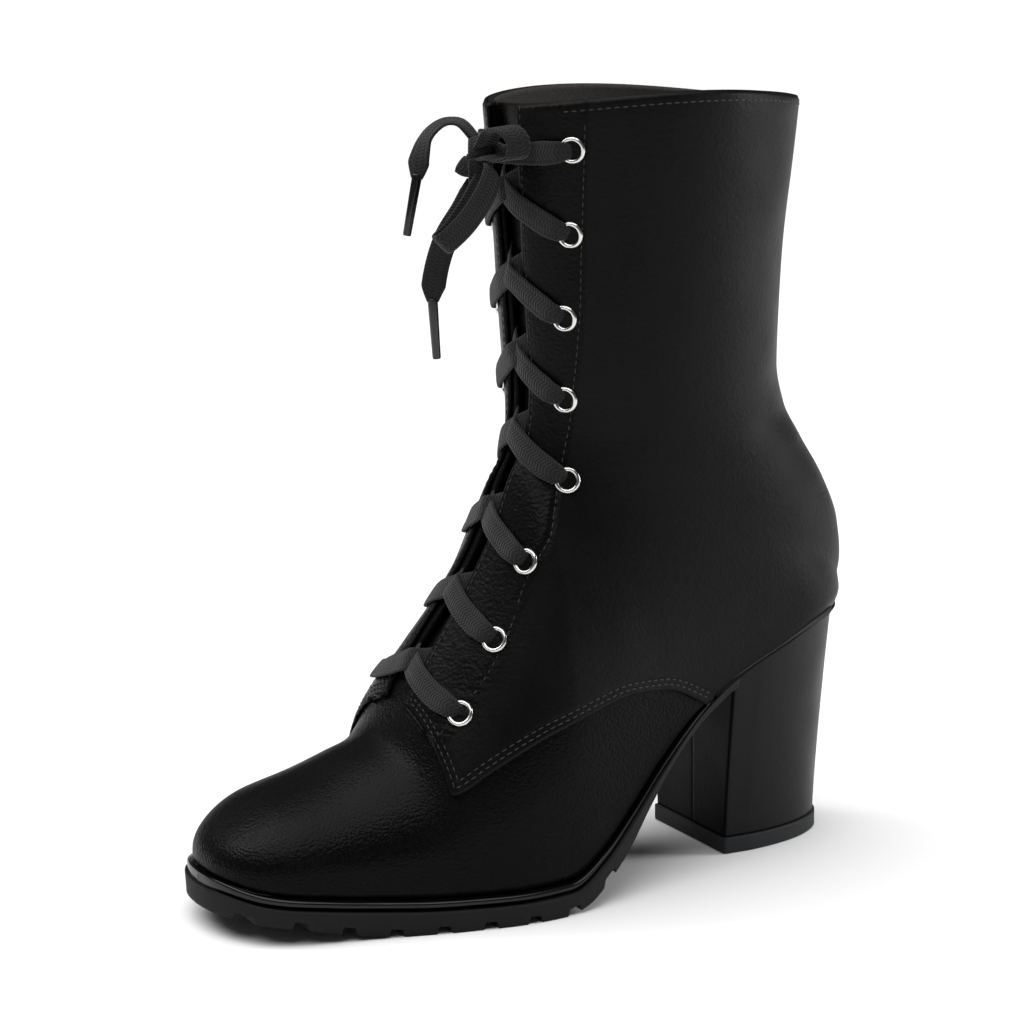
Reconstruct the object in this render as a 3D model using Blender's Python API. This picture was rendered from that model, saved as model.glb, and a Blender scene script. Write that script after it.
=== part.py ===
"""Lace up ankle boot for the left foot, as separate closed solids.

Metres, +Z up, toe towards -Y, outer side towards +X. The origin is the middle of the heel's
top piece where it stands on the floor. Tables hold shares of the named sizes.
"""

import math

import bmesh
import bpy
import numpy as np
from mathutils import Vector

MM = 0.001
OBJECT_NAME = "lace_up_ankle_boot"

# Overall sizes
TOE_Y = -195.0 * MM
COUNTER_Y = 30.3 * MM
FOOT_LENGTH = COUNTER_Y - TOE_Y
BOOT_HEIGHT = 245.0 * MM
BALL_BREADTH = 82.5 * MM
SHAFT_WIDTH = 84.0 * MM
GAP = 0.3 * MM
CUT_PAST = 14.0 * MM
FRONT_SHARE = 0.63

# Shell
UPPER_WALL = 2.0 * MM
FEATHER_LIFT = 0.7 * MM
QUARTER_WALL = 1.4 * MM
TONGUE_WALL = 2.2 * MM
TONGUE_GAP = 1.1 * MM
TONGUE_RISE = 0.5 * MM
TONGUE_START = 0.33
TONGUE_SPREAD = 44.0
TONGUE_COLUMNS = 7
FACING_HALF_GAP = 6.0 * MM
FACING_COLLAR_HALF_GAP = 9.0 * MM
THROAT_SETBACK = 1.6 * MM
THROAT_BASE_Z = 74.0 * MM
THROAT_FLARE = 0.82
SEAM_RUNOUT = 8.0 * MM
FOOT_BLEND = 12.0 * MM
COLLAR_SIDE_RISE = 4.0 * MM
COLLAR_OUTER_RISE = 1.8 * MM

# Sole
WELT_THICK = 3.2 * MM
WELT_HEEL_THICK = 1.6 * MM
WELT_REACH = 1.8 * MM
WELT_THIN_FROM = 0.46
WELT_THIN_OVER = 0.12
OUTSOLE_REACH = 2.6 * MM
OUTSOLE_DRAFT = 1.2 * MM
INSOLE_THICK = 2.5 * MM
INSOLE_GAP = 1.4 * MM
LUG_PITCH = 14.0 * MM
LUG_NOTCH = 4.2 * MM
LUG_DEPTH = 2.4 * MM
LUG_REACH = 15.0 * MM
LUG_COUNT = 8
LUG_FIRST_Y = -191.0 * MM

# Heel
HEEL_TOP_LENGTH = 44.5 * MM
HEEL_TOP_WIDTH = 45.4 * MM
TOP_PIECE_THICK = 5.5 * MM
TOP_PIECE_FLANGE = 0.7 * MM
HEEL_BREAST_Y = -22.0 * MM
HEEL_SEAT_WIDTH = 57.0 * MM
HEEL_SEAT_BACK_Y = 27.4 * MM
HEEL_SWELL = 1.25
HEEL_CORNER = 0.48
HEEL_STRAIGHT = 0.2
HEEL_LEVELS = (0.0, 0.3, 0.65, 1.0)

# Lacing
EYELET_OUTER = 8.6 * MM
EYELET_HOLE = 5.0 * MM
EYELET_BARREL = 6.0 * MM
EYELET_RIM = 0.8 * MM
EYELET_SIDES = 8
EYELET_SEAT_GAP = 0.9 * MM
LACE_SEAT_GAP = 1.5 * MM
LACE_WIDTH = 7.6 * MM
LACE_THICK = 1.3 * MM
STRAND_DIP = 0.7 * MM
FLANGE_LAP = 1.0 * MM
FLANGE_GAP = 0.45 * MM
STRAND_END_X = 3.4 * MM
CORD_DIAMETER = 3.4 * MM
CORD_STEP = 6.0 * MM
AGLET_DIAMETER = 3.2 * MM

# Grid of the upper's surface
RINGS = 21
SOLE_STATIONS = 30
TOE_RAYS = 9
SIDE_RAYS = 9
HEEL_RAYS = 7

# Share of the foot length from the toe, then shares of the ball breadth for the middle and the
# half width of the feather edge, with the round ends left to round_off.
OUTLINE = (
    (0.00, -0.080, 0.390),
    (0.10, -0.082, 0.396),
    (0.16, -0.068, 0.412),
    (0.22, -0.044, 0.438),
    (0.30, -0.006, 0.471),
    (0.38, 0.033, 0.484),
    (0.46, 0.058, 0.461),
    (0.54, 0.068, 0.415),
    (0.62, 0.062, 0.380),
    (0.70, 0.046, 0.357),
    (0.80, 0.022, 0.342),
    (0.90, 0.006, 0.335),
    (1.00, 0.000, 0.330),
)
TOE_ROUND = (0.150, 2.2)
HEEL_ROUND = (0.125, 2.1)

# Share of the foot length, and share of the boot height, of the feather edge and of the bottom
# of the outsole.
FEATHER = (
    (0.00, 0.0750),
    (0.04, 0.0655),
    (0.10, 0.0585),
    (0.19, 0.0490),
    (0.26, 0.0445),
    (0.38, 0.0425),
    (0.45, 0.0440),
    (0.51, 0.0730),
    (0.56, 0.1150),
    (0.62, 0.1720),
    (0.67, 0.2130),
    (0.71, 0.2380),
    (0.76, 0.2630),
    (0.83, 0.2880),
    (0.90, 0.3090),
    (1.00, 0.3210),
)
SOLE_BOTTOM = (
    (-0.02, 0.0330),
    (0.04, 0.0215),
    (0.07, 0.0180),
    (0.10, 0.0125),
    (0.14, 0.0055),
    (0.19, 0.0000),
    (0.44, 0.0000),
    (0.475, 0.0080),
    (0.515, 0.0330),
    (0.55, 0.0650),
    (0.59, 0.1150),
    (0.63, 0.1600),
    (0.67, 0.1925),
    (0.71, 0.2165),
    (0.76, 0.2400),
    (1.00, 0.2950),
)

# Share of the foot length, share of the boot height of the ridge over the foot, and the power
# of the cross-section's side and top.
RIDGE = (
    (0.00, 0.134, 2.5, 2.1),
    (0.04, 0.141, 2.5, 2.1),
    (0.09, 0.155, 2.4, 2.0),
    (0.16, 0.1735, 2.3, 1.9),
    (0.22, 0.196, 2.2, 1.8),
    (0.26, 0.213, 2.1, 1.8),
    (0.28, 0.242, 2.0, 1.7),
    (0.30, 0.283, 2.0, 1.7),
    (0.34, 0.340, 1.9, 1.6),
    (0.38, 0.392, 1.9, 1.6),
    (0.42, 0.453, 1.9, 1.6),
    (0.47, 0.540, 2.0, 1.7),
    (0.60, 0.560, 2.0, 2.0),
    (0.80, 0.480, 2.0, 2.0),
    (1.00, 0.350, 2.0, 2.0),
)
RIDGE_ROUND = (0.110, 2.4)

# Share of the boot height, then of the boot height for the front and the back, share of the
# shaft width for the half width, and the power of the section.
SHAFT = (
    (0.20, -0.330, 0.112, 0.320, 2.2),
    (0.32, -0.330, 0.113, 0.345, 2.2),
    (0.38, -0.330, 0.124, 0.368, 2.2),
    (0.43, -0.330, 0.1175, 0.382, 2.2),
    (0.49, -0.332, 0.092, 0.396, 2.2),
    (0.55, -0.335, 0.055, 0.405, 2.2),
    (0.60, -0.340, 0.029, 0.412, 2.1),
    (0.66, -0.344, 0.016, 0.424, 2.1),
    (0.75, -0.349, 0.018, 0.444, 2.1),
    (0.84, -0.355, 0.027, 0.466, 2.0),
    (0.93, -0.361, 0.039, 0.486, 2.0),
    (1.00, -0.366, 0.0475, 0.500, 2.0),
)

# Share of the way up, then shares of the boot height for the sheet's front and back.
SHEETS = (
    (0.00, 0.060, 0.312),
    (0.05, 0.108, 0.343),
    (0.10, 0.147, 0.376),
    (0.15, 0.165, 0.408),
    (0.20, 0.178, 0.445),
    (0.25, 0.185, 0.478),
    (0.30, 0.205, 0.511),
    (0.35, 0.264, 0.546),
    (0.40, 0.308, 0.580),
    (0.45, 0.350, 0.613),
    (0.50, 0.397, 0.647),
    (0.60, 0.507, 0.714),
    (0.70, 0.640, 0.780),
    (0.80, 0.766, 0.848),
    (0.90, 0.900, 0.922),
    (1.00, 1.016, 0.993),
)
SHEET_BEND = 1.8
FEATHER_FADE = 8.0

# Share of the way up, and shares of the foot length for the front and back ray centres.
CENTRES = (
    (0.00, 0.160, 0.860),
    (0.15, 0.200, 0.860),
    (0.25, 0.280, 0.855),
    (0.40, 0.410, 0.830),
    (0.50, 0.500, 0.800),
    (0.60, 0.570, 0.770),
    (0.75, 0.620, 0.740),
    (1.00, 0.650, 0.740),
)

# Share of the rings, and the share of the way up that they reach.
RING_SPREAD = ((0.0, 0.0), (0.46, 0.38), (0.82, 0.72), (1.0, 1.0))

# Side view of the quarters' lower edge, as shares of the foot length and of the boot height.
QUARTER_SEAM = (
    (0.293, 0.300),
    (0.287, 0.210),
    (0.290, 0.172),
    (0.303, 0.173),
    (0.340, 0.194),
    (0.385, 0.218),
    (0.435, 0.239),
    (0.500, 0.258),
    (0.560, 0.268),
    (0.620, 0.264),
    (0.680, 0.240),
    (0.740, 0.200),
)

# Eyelets seen from the front, as shares of half the shaft width and of the boot height.
EYELET_PLACES = (
    (0.619, 0.263),
    (0.576, 0.349),
    (0.552, 0.443),
    (0.505, 0.539),
    (0.440, 0.642),
    (0.476, 0.747),
    (0.540, 0.853),
    (0.593, 0.959),
)

ROW_COUNT = len(EYELET_PLACES)

# Cord routes, in millimetres from the origin.
LOOP_LEFT_ROUTE = (
    (3.5, -98.6, 225.5),
    (6.6, -104.6, 218.6),
    (8.4, -112.0, 211.0),
    (9.0, -116.6, 207.6),
    (13.0, -116.8, 208.2),
    (13.8, -110.0, 214.0),
    (12.8, -103.2, 221.6),
    (10.4, -99.4, 227.0),
    (7.3, -98.2, 229.1),
)
LOOP_RIGHT_ROUTE = (
    (4.2, -97.8, 236.2),
    (9.0, -97.4, 240.6),
    (14.6, -95.8, 241.0),
    (17.8, -94.2, 237.6),
    (16.8, -94.4, 233.4),
    (12.6, -96.2, 232.0),
    (7.7, -97.6, 232.5),
)
END_LEFT_ROUTE = (
    (-2.9, -97.8, 237.3),
    (-6.3, -101.0, 241.9),
    (-11.0, -107.0, 242.6),
    (-14.0, -112.4, 238.6),
    (-15.6, -115.4, 232.0),
    (-16.2, -116.6, 225.0),
)
AGLET_LEFT_END = (-16.8, -119.6, 207.6)
END_RIGHT_ROUTE = (
    (-0.6, -98.4, 224.5),
    (0.6, -104.0, 216.4),
    (1.4, -110.6, 208.0),
    (1.0, -114.2, 198.0),
    (0.4, -115.2, 188.0),
)
AGLET_RIGHT_END = (0.0, -114.0, 170.6)
KNOT_CENTRE = (0.0, -97.6, 231.0)
KNOT_SIZE = (14.6, 8.2, 12.0)

# Material: colour as linear RGB, roughness, metallic
FINISHES = {
    "vamp_leather": ((0.012, 0.012, 0.013), 0.42, 0.0),
    "quarter_leather": ((0.014, 0.014, 0.015), 0.46, 0.0),
    "tongue_leather": ((0.013, 0.013, 0.014), 0.5, 0.0),
    "heel_cover": ((0.010, 0.010, 0.011), 0.4, 0.0),
    "sole_rubber": ((0.030, 0.031, 0.033), 0.75, 0.0),
    "top_piece_rubber": ((0.035, 0.036, 0.038), 0.7, 0.0),
    "welt_gloss": ((0.006, 0.006, 0.007), 0.22, 0.0),
    "insole_lining": ((0.030, 0.029, 0.028), 0.8, 0.0),
    "nickel": ((0.72, 0.72, 0.70), 0.25, 1.0),
    "lace_cotton": ((0.012, 0.012, 0.013), 0.85, 0.0),
    "aglet_plastic": ((0.020, 0.020, 0.022), 0.25, 0.0),
}


def curve_through(table, places):
    """Values of a smooth curve through a table's rows, which never swings past a row."""
    rows = np.array(table, dtype=float)
    at = rows[:, 0]
    values = rows[:, 1:]
    steps = np.diff(at)[:, None]
    slopes = np.diff(values, axis=0) / steps
    tangents = np.zeros_like(values)
    before = slopes[:-1]
    after = slopes[1:]
    same_way = before * after > 0
    total = np.where(same_way, before + after, 1.0)
    tangents[1:-1] = np.where(same_way, 2 * before * after / total, 0.0)
    tangents[0] = slopes[0]
    tangents[-1] = slopes[-1]
    where = np.clip(np.asarray(places, dtype=float), at[0], at[-1])
    index = np.clip(np.searchsorted(at, where) - 1, 0, len(at) - 2)
    step = steps[index, 0]
    t = ((where - at[index]) / step)[..., None]
    step = step[..., None]
    start = (2 * t**3 - 3 * t**2 + 1) * values[index] + (t**3 - 2 * t**2 + t) * step * tangents[index]
    end = (3 * t**2 - 2 * t**3) * values[index + 1] + (t**3 - t**2) * step * tangents[index + 1]
    return start + end


def round_off(distance, length, power):
    """Share of the full width at a distance from a round end of the given length."""
    short = 1 - np.clip(distance / length, 0.0, 1.0)
    return (1 - short**power) ** (1 / power)


def foot_share(y):
    return (y - TOE_Y) / FOOT_LENGTH


def foot_outline(share):
    """Middle and half width of the feather edge at a share of the foot length."""
    middle, half = np.moveaxis(curve_through(OUTLINE, share) * BALL_BREADTH, -1, 0)
    end = foot_share(HEEL_SEAT_BACK_Y)
    ends = round_off(share, *TOE_ROUND) * round_off(end - share, *HEEL_ROUND)
    return middle, half * ends


def feather_height(y):
    return curve_through(FEATHER, foot_share(y))[..., 0] * BOOT_HEIGHT


def sole_bottom_height(y):
    return curve_through(SOLE_BOTTOM, foot_share(y))[..., 0] * BOOT_HEIGHT


def foot_level(x, y, z):
    """Signed measure of a point against the foot's body, below zero inside."""
    share = foot_share(y)
    middle, half = foot_outline(share)
    ridge, side_power, top_power = np.moveaxis(curve_through(RIDGE, share), -1, 0)
    floor = feather_height(y)
    top = floor + (ridge * BOOT_HEIGHT - floor) * round_off(share, *RIDGE_ROUND)
    shoulder = floor + 0.28 * (top - floor)
    rise = np.clip((z - shoulder) / np.maximum(top - shoulder, MM), 0.0, None)
    across = np.abs(x - middle) / np.maximum(half, 0.05 * MM)
    reach = (across**side_power + rise**top_power) ** (2 / (side_power + top_power))
    return (reach - 1) * 0.36 * BALL_BREADTH


def shaft_level(x, y, z):
    """Signed measure of a point against the shaft's body, below zero inside."""
    front, back, half, power = np.moveaxis(curve_through(SHAFT, z / BOOT_HEIGHT), -1, 0)
    middle = 0.5 * (front + back) * BOOT_HEIGHT
    length = 0.5 * (back - front) * BOOT_HEIGHT
    width = half * SHAFT_WIDTH
    reach = (np.abs(x / width) ** power + np.abs((y - middle) / length) ** power) ** (1 / power)
    return (reach - 1) * width


def boot_level(x, y, z):
    """Signed measure against the whole upper, with foot and shaft flowing together."""
    foot = foot_level(x, y, z)
    shaft = shaft_level(x, y, z)
    overlap = np.clip(FOOT_BLEND - np.abs(foot - shaft), 0.0, None)
    return np.minimum(foot, shaft) - overlap**2 / (4 * FOOT_BLEND)


def boot_normals(points):
    """Outward unit normals of the upper's surface at an array of points."""
    step = 0.2 * MM
    x, y, z = np.moveaxis(points, -1, 0)
    slope = np.stack(
        (
            boot_level(x + step, y, z) - boot_level(x - step, y, z),
            boot_level(x, y + step, z) - boot_level(x, y - step, z),
            boot_level(x, y, z + step) - boot_level(x, y, z - step),
        ),
        axis=-1,
    )
    return slope / np.linalg.norm(slope, axis=-1, keepdims=True)


def sheet_height(up, x, y):
    """Height of the level sheet that is a share of the way from feather edge to collar."""
    bend = np.clip((y - TOE_Y) / FOOT_LENGTH, 0.0, 1.1) ** SHEET_BEND

    def plain(share):
        front, back = np.moveaxis(curve_through(SHEETS, share) * BOOT_HEIGHT, -1, 0)
        return front + (back - front) * bend

    fade = (1 - up) ** FEATHER_FADE
    across = x / (SHAFT_WIDTH / 2)
    rim = up**3 * (COLLAR_SIDE_RISE * across**2 + COLLAR_OUTER_RISE * across)
    return plain(up) + fade * (feather_height(y) - plain(np.zeros_like(up))) + rim


def ray_fan(turns, lengths):
    """Ray angles about the toe and heel centres, and each ray's share of the way between."""
    angles = np.concatenate([np.linspace(a, b, n, endpoint=False) for a, b, n in turns])
    along = np.concatenate([np.linspace(a, b, n, endpoint=False) for a, b, n in lengths])
    return np.radians(angles), along


def whole_fan():
    """Rays all the way round: toe, outer side, heel, inner side."""
    turns = ((-66, 66, TOE_RAYS), (66, 114, SIDE_RAYS), (114, 246, HEEL_RAYS), (246, 294, SIDE_RAYS))
    lengths = ((0, 0, TOE_RAYS), (0, 1, SIDE_RAYS), (1, 1, HEEL_RAYS), (1, 0, SIDE_RAYS))
    return ray_fan(turns, lengths)


def surface_points(ups, fan):
    """Grid of points on the upper's surface, one row for each share of the way up."""
    angles, along = fan
    up = np.repeat(np.asarray(ups, dtype=float)[:, None], len(angles), axis=1)
    front, back = np.moveaxis(curve_through(CENTRES, up), -1, 0)
    centre_y = TOE_Y + (front + (back - front) * along) * FOOT_LENGTH
    centre_x = foot_outline(foot_share(centre_y))[0] * (1 - up)
    direction_x = np.sin(angles)
    direction_y = -np.cos(angles)
    near = np.zeros_like(centre_x)
    far = np.full_like(centre_x, 0.6 * FOOT_LENGTH)
    for _ in range(34):
        middle = 0.5 * (near + far)
        x = centre_x + direction_x * middle
        y = centre_y + direction_y * middle
        inside = boot_level(x, y, sheet_height(up, x, y)) < 0
        near = np.where(inside, middle, near)
        far = np.where(inside, far, middle)
    x = centre_x + direction_x * near
    y = centre_y + direction_y * near
    return np.stack((x, y, sheet_height(up, x, y)), axis=-1)


def offset_points(points, distance):
    """Points moved out along the surface, with the end rows kept level with the edges."""
    normals = boot_normals(points)
    for row in (0, -1):
        normals[row, :, 2] = 0.0
        normals[row] /= np.linalg.norm(normals[row], axis=-1, keepdims=True)
    moved = points + normals * distance
    moved[0, :, 2] = feather_height(moved[0, :, 1]) + FEATHER_LIFT
    return moved


def solid_mesh(name, mesh_builder):
    """Mesh of a closed shape whose faces all look outwards."""
    mesh = bpy.data.meshes.new(name)
    build = bmesh.new()
    mesh_builder(build)
    bmesh.ops.remove_doubles(build, verts=build.verts, dist=0.00001 * MM)
    bmesh.ops.recalc_face_normals(build, faces=build.faces)
    if build.calc_volume(signed=True) < 0:
        bmesh.ops.reverse_faces(build, faces=build.faces)
    build.to_mesh(mesh)
    build.free()
    return mesh


def new_object(name, mesh_builder, finish):
    """Wraps a bmesh builder's result as a named object with its own material."""
    return register(bpy.data.objects.new(name, solid_mesh(name, mesh_builder)), finish)


def register(part, finish):
    """Puts an object in the boot's collection and gives it a material of its own."""
    bpy.data.collections[OBJECT_NAME].objects.link(part)
    colour, roughness, metallic = FINISHES[finish]
    material = bpy.data.materials.new(f"{part.name}_{finish}")
    material.use_nodes = True
    shader = material.node_tree.nodes["Principled BSDF"]
    shader.inputs["Base Color"].default_value = (*colour, 1.0)
    shader.inputs["Roughness"].default_value = roughness
    shader.inputs["Metallic"].default_value = metallic
    part.data.materials.append(material)
    return part


def loft(build, rows, closed_across, closed_along=False, guide=None):
    """Triangles between rows of points, split along the shorter diagonal of a guide's quads."""
    grid = [[build.verts.new(point) for point in row] for row in rows]
    guide = np.array(rows if guide is None else guide, dtype=float)
    count = len(grid[0])
    for low in range(len(grid) if closed_along else len(grid) - 1):
        high = (low + 1) % len(grid)
        for i in range(count if closed_across else count - 1):
            j = (i + 1) % count
            a, b, c, d = grid[low][i], grid[low][j], grid[high][j], grid[high][i]
            rising = np.linalg.norm(guide[high][j] - guide[low][i])
            falling = np.linalg.norm(guide[high][i] - guide[low][j])
            if rising <= falling:
                build.faces.new((a, b, c))
                build.faces.new((a, c, d))
            else:
                build.faces.new((a, b, d))
                build.faces.new((b, c, d))
    return grid


def join_lines(build, first, second):
    """Quads between two lines of vertices."""
    for a, b, c, d in zip(first, first[1:], second[1:], second):
        build.faces.new((a, b, c, d))


def round_shell(name, base, outer, inner, finish):
    """Closed tube wall between two grids of loops that were moved out from a base grid."""

    def build_wall(build):
        outside = loft(build, outer, closed_across=True, guide=base)
        inside = loft(build, inner, closed_across=True, guide=base)
        for row in (0, -1):
            join_lines(build, [*outside[row], outside[row][0]], [*inside[row], inside[row][0]])

    return new_object(name, build_wall, finish)


def patch_shell(name, outer, inner, finish):
    """Closed flap between two grids that are open at all four sides."""

    def build_patch(build):
        front = loft(build, outer, closed_across=False)
        rear = loft(build, inner, closed_across=False)
        for row in (0, -1):
            join_lines(build, front[row], rear[row])
            join_lines(build, [line[row] for line in front], [line[row] for line in rear])

    return new_object(name, build_patch, finish)


def cutter_object(name, mesh_builder):
    """Object that only cuts: kept out of renders and in a collection of its own."""
    cutter = bpy.data.objects.new(name, solid_mesh(name, mesh_builder))
    bpy.data.collections["cutters"].objects.link(cutter)
    cutter.hide_render = True
    cutter.display_type = "WIRE"
    return cutter


def cut(target, cutter, operation="DIFFERENCE"):
    """Adds an exact Boolean to a piece."""
    step = target.modifiers.new(cutter.name, "BOOLEAN")
    step.operation = operation
    step.solver = "EXACT"
    step.object = cutter


def prism_cutter(name, outline, axis, start, end):
    """Flat outline drawn square to an axis, extended between two places on it."""
    others = [i for i in range(3) if i != axis]

    def point(pair, place):
        values = [0.0, 0.0, 0.0]
        values[others[0]], values[others[1]] = pair
        values[axis] = place
        return values

    rows = [[point(pair, place) for pair in outline] for place in (start, end)]

    def build_prism(build):
        grid = loft(build, rows, closed_across=True)
        build.faces.new(grid[0])
        build.faces.new(grid[-1])

    return cutter_object(name, build_prism)


def side_place(table):
    """Side-view places in metres from shares of the foot length and boot height."""
    return [(TOE_Y + s * FOOT_LENGTH, h * BOOT_HEIGHT) for s, h in table]


def front_point(x, z):
    """Point of the upper's front surface at a width and a height."""
    near, far = TOE_Y + FRONT_SHARE * FOOT_LENGTH, TOE_Y - CUT_PAST
    for _ in range(40):
        middle = 0.5 * (near + far)
        if boot_level(np.array([x]), np.array([middle]), np.array([z]))[0] < 0:
            near = middle
        else:
            far = middle
    return np.array([x, near, z])


def eyelet_frames():
    """Surface point and outward normal of every eyelet, outer side first, bottom to top."""
    frames = []
    for side in (1, -1):
        for across, up in EYELET_PLACES:
            point = front_point(side * across * SHAFT_WIDTH / 2, up * BOOT_HEIGHT)
            frames.append((point, boot_normals(point[None])[0]))
    return frames


def along_normal(point, normal):
    """Matrix that stands a shape on a point with its own z along the normal."""
    matrix = Vector(normal).to_track_quat("Z", "Y").to_matrix().to_4x4()
    matrix.translation = Vector(point)
    return matrix


def eyelet_cutter(frames):
    """Barrel holes through the walls of upper and quarters."""
    radius = EYELET_BARREL / 2 + GAP

    def build_holes(build):
        for point, normal in frames:
            bmesh.ops.create_cone(
                build,
                cap_ends=True,
                segments=EYELET_SIDES,
                radius1=radius,
                radius2=radius,
                depth=CUT_PAST,
                matrix=along_normal(point, normal),
            )

    return cutter_object("eyelet_holes", build_holes)


def throat_cutter(name, setback, base):
    """Slot down the front, wider at the collar, as seen from the front."""
    low = FACING_HALF_GAP + setback
    high = FACING_COLLAR_HALF_GAP + setback
    flare = THROAT_FLARE * BOOT_HEIGHT
    top = BOOT_HEIGHT + CUT_PAST
    outline = (
        (-high, top),
        (-low, flare),
        (-low, base + 0.6 * low),
        (-0.5 * low, base),
        (0.5 * low, base),
        (low, base + 0.6 * low),
        (low, flare),
        (high, top),
    )
    return prism_cutter(name, outline, 1, TOE_Y - CUT_PAST, TOE_Y + FRONT_SHARE * FOOT_LENGTH)


def vamp_cutter():
    """Side view of all that lies in front of and below the quarters' lower seam."""
    seam = side_place(QUARTER_SEAM)
    front = TOE_Y - CUT_PAST
    low = -CUT_PAST
    outline = [*seam, (seam[-1][0] + SEAM_RUNOUT, low), (front, low), (front, seam[0][1])]
    return prism_cutter("vamp_outline", outline, 0, -BALL_BREADTH, BALL_BREADTH)


def ring_shares():
    """Shares of the way up for the grid's rings, closer together over the toe and vamp."""
    places, shares = zip(*RING_SPREAD)
    return np.interp(np.linspace(0, 1, RINGS + 1), places, shares)


def build_upper(frames):
    """Vamp, toe and lining: one wall from the feather edge to the collar."""
    base = surface_points(ring_shares(), whole_fan())
    outer = offset_points(base, 0.0)
    inner = offset_points(base, -UPPER_WALL)
    upper = round_shell("upper", base, outer, inner, "vamp_leather")
    cut(upper, throat_cutter("upper_throat", THROAT_SETBACK, THROAT_BASE_Z))
    cut(upper, eyelet_cutter(frames))


def build_quarters():
    """Overlay with the facings: an outer form kept only behind the seam."""
    base = surface_points(ring_shares(), whole_fan())
    outer = offset_points(base, GAP + QUARTER_WALL)
    inner = offset_points(base, GAP)
    quarters = round_shell("quarters", base, outer, inner, "quarter_leather")
    cut(quarters, vamp_cutter())
    cut(quarters, throat_cutter("facing_gap", 0.0, 0.0))
    cut(quarters, bpy.data.objects["eyelet_holes"])


def build_tongue():
    """Flap inside the throat, up to the collar."""
    clearance = UPPER_WALL + TONGUE_GAP
    angles = np.radians(np.linspace(-TONGUE_SPREAD, TONGUE_SPREAD, TONGUE_COLUMNS))
    shares = ring_shares()
    base = surface_points(shares[shares > TONGUE_START], (angles, np.zeros_like(angles)))
    normals = boot_normals(base)
    outer = base - normals * clearance
    inner = base - normals * (clearance + TONGUE_WALL)
    outer[-1, :, 2] += TONGUE_RISE
    inner[-1, :, 2] += TONGUE_RISE
    patch_shell("tongue", outer, inner, "tongue_leather")


def outline_loop(reach, last=1.0):
    """Outer and inner plan points of the feather edge, moved out by a reach."""
    end = foot_share(HEEL_SEAT_BACK_Y)
    share = end * (0.5 - 0.5 * np.cos(np.linspace(0, math.pi, SOLE_STATIONS)))
    if last < end:
        share = np.append(share[share < last - 0.01], last)
    middle, half = foot_outline(share)
    y = TOE_Y + share * FOOT_LENGTH
    sides = []
    for side in (1, -1):
        line = np.stack((middle + side * half, y), axis=-1)
        along = np.gradient(line, axis=0)
        normal = np.stack((side * along[:, 1], -side * along[:, 0]), axis=-1)
        normal /= np.linalg.norm(normal, axis=-1, keepdims=True)
        sides.append(line + normal * reach)
    ends = [(0, -1)]
    if last >= end:
        ends.append((-1, 1))
    for row, direction in ends:
        tip = np.array([middle[row], y[row] + direction * reach])
        sides[0][row] = tip
        sides[1][row] = tip
    return sides


def slab(name, sides, top, bottom, finish, draft=0.0):
    """Plate with the given plan, lofted from toe to heel between two height functions."""
    rows = []
    centre = 0.5 * (sides[0] + sides[1])
    for outer, inner, middle in zip(*sides, centre):
        shrink = max(0.0, 1 - draft / max(np.linalg.norm(outer - middle), MM))
        low_outer = middle + (outer - middle) * shrink
        low_inner = middle + (inner - middle) * shrink
        rows.append(
            [
                (*outer, top(outer[1])),
                (*low_outer, bottom(low_outer[1])),
                (*low_inner, bottom(low_inner[1])),
                (*inner, top(inner[1])),
            ]
        )

    def build_slab(build):
        grid = loft(build, rows, closed_across=True)
        build.faces.new(grid[0])
        build.faces.new(grid[-1])

    return new_object(name, build_slab, finish)


def welt_thickness(y):
    """The band is full under the forefoot and thin from the waist to the heel."""
    share = np.clip((foot_share(y) - WELT_THIN_FROM) / WELT_THIN_OVER, 0.0, 1.0)
    return WELT_THICK + (WELT_HEEL_THICK - WELT_THICK) * share


def build_sole():
    """Insole, welt band and outsole, one above the other."""
    slab(
        "insole",
        outline_loop(-(UPPER_WALL + INSOLE_GAP)),
        lambda y: feather_height(y) + INSOLE_THICK + GAP,
        lambda y: feather_height(y) + GAP,
        "insole_lining",
    )
    slab(
        "welt",
        outline_loop(WELT_REACH),
        lambda y: feather_height(y) - GAP,
        lambda y: feather_height(y) - GAP - welt_thickness(y),
        "welt_gloss",
    )
    breast = foot_share(HEEL_BREAST_Y - 3 * GAP)
    outsole = slab(
        "outsole",
        outline_loop(OUTSOLE_REACH, breast),
        lambda y: feather_height(y) - 2 * GAP - welt_thickness(y),
        sole_bottom_height,
        "sole_rubber",
        OUTSOLE_DRAFT,
    )
    cut(outsole, lug_cutter())


def lug_cutter():
    """Notches between the lugs, along both edges of the sole."""
    size = (LUG_REACH + CUT_PAST, LUG_NOTCH, 2 * LUG_DEPTH)

    def build_notches(build):
        for index in range(LUG_COUNT + 1):
            y = LUG_FIRST_Y + index * LUG_PITCH
            middle, half = foot_outline(np.array([foot_share(y)]))
            slope = sole_bottom_height(y + MM) - sole_bottom_height(y - MM)
            lean = math.atan2(float(slope), 2 * MM)
            for side in (1, -1):
                edge = middle[0] + side * (half[0] + OUTSOLE_REACH)
                inset = side * (LUG_REACH - size[0] / 2)
                centre = Vector((edge - inset, y, float(sole_bottom_height(y))))
                box = bmesh.ops.create_cube(build, size=1.0)["verts"]
                for vert in box:
                    local = Vector([a * b for a, b in zip(vert.co, size)])
                    turned = Vector(
                        (
                            local.x,
                            local.y * math.cos(lean) - local.z * math.sin(lean),
                            local.y * math.sin(lean) + local.z * math.cos(lean),
                        )
                    )
                    vert.co = centre + turned

    return cutter_object("lug_notches", build_notches)


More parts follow.
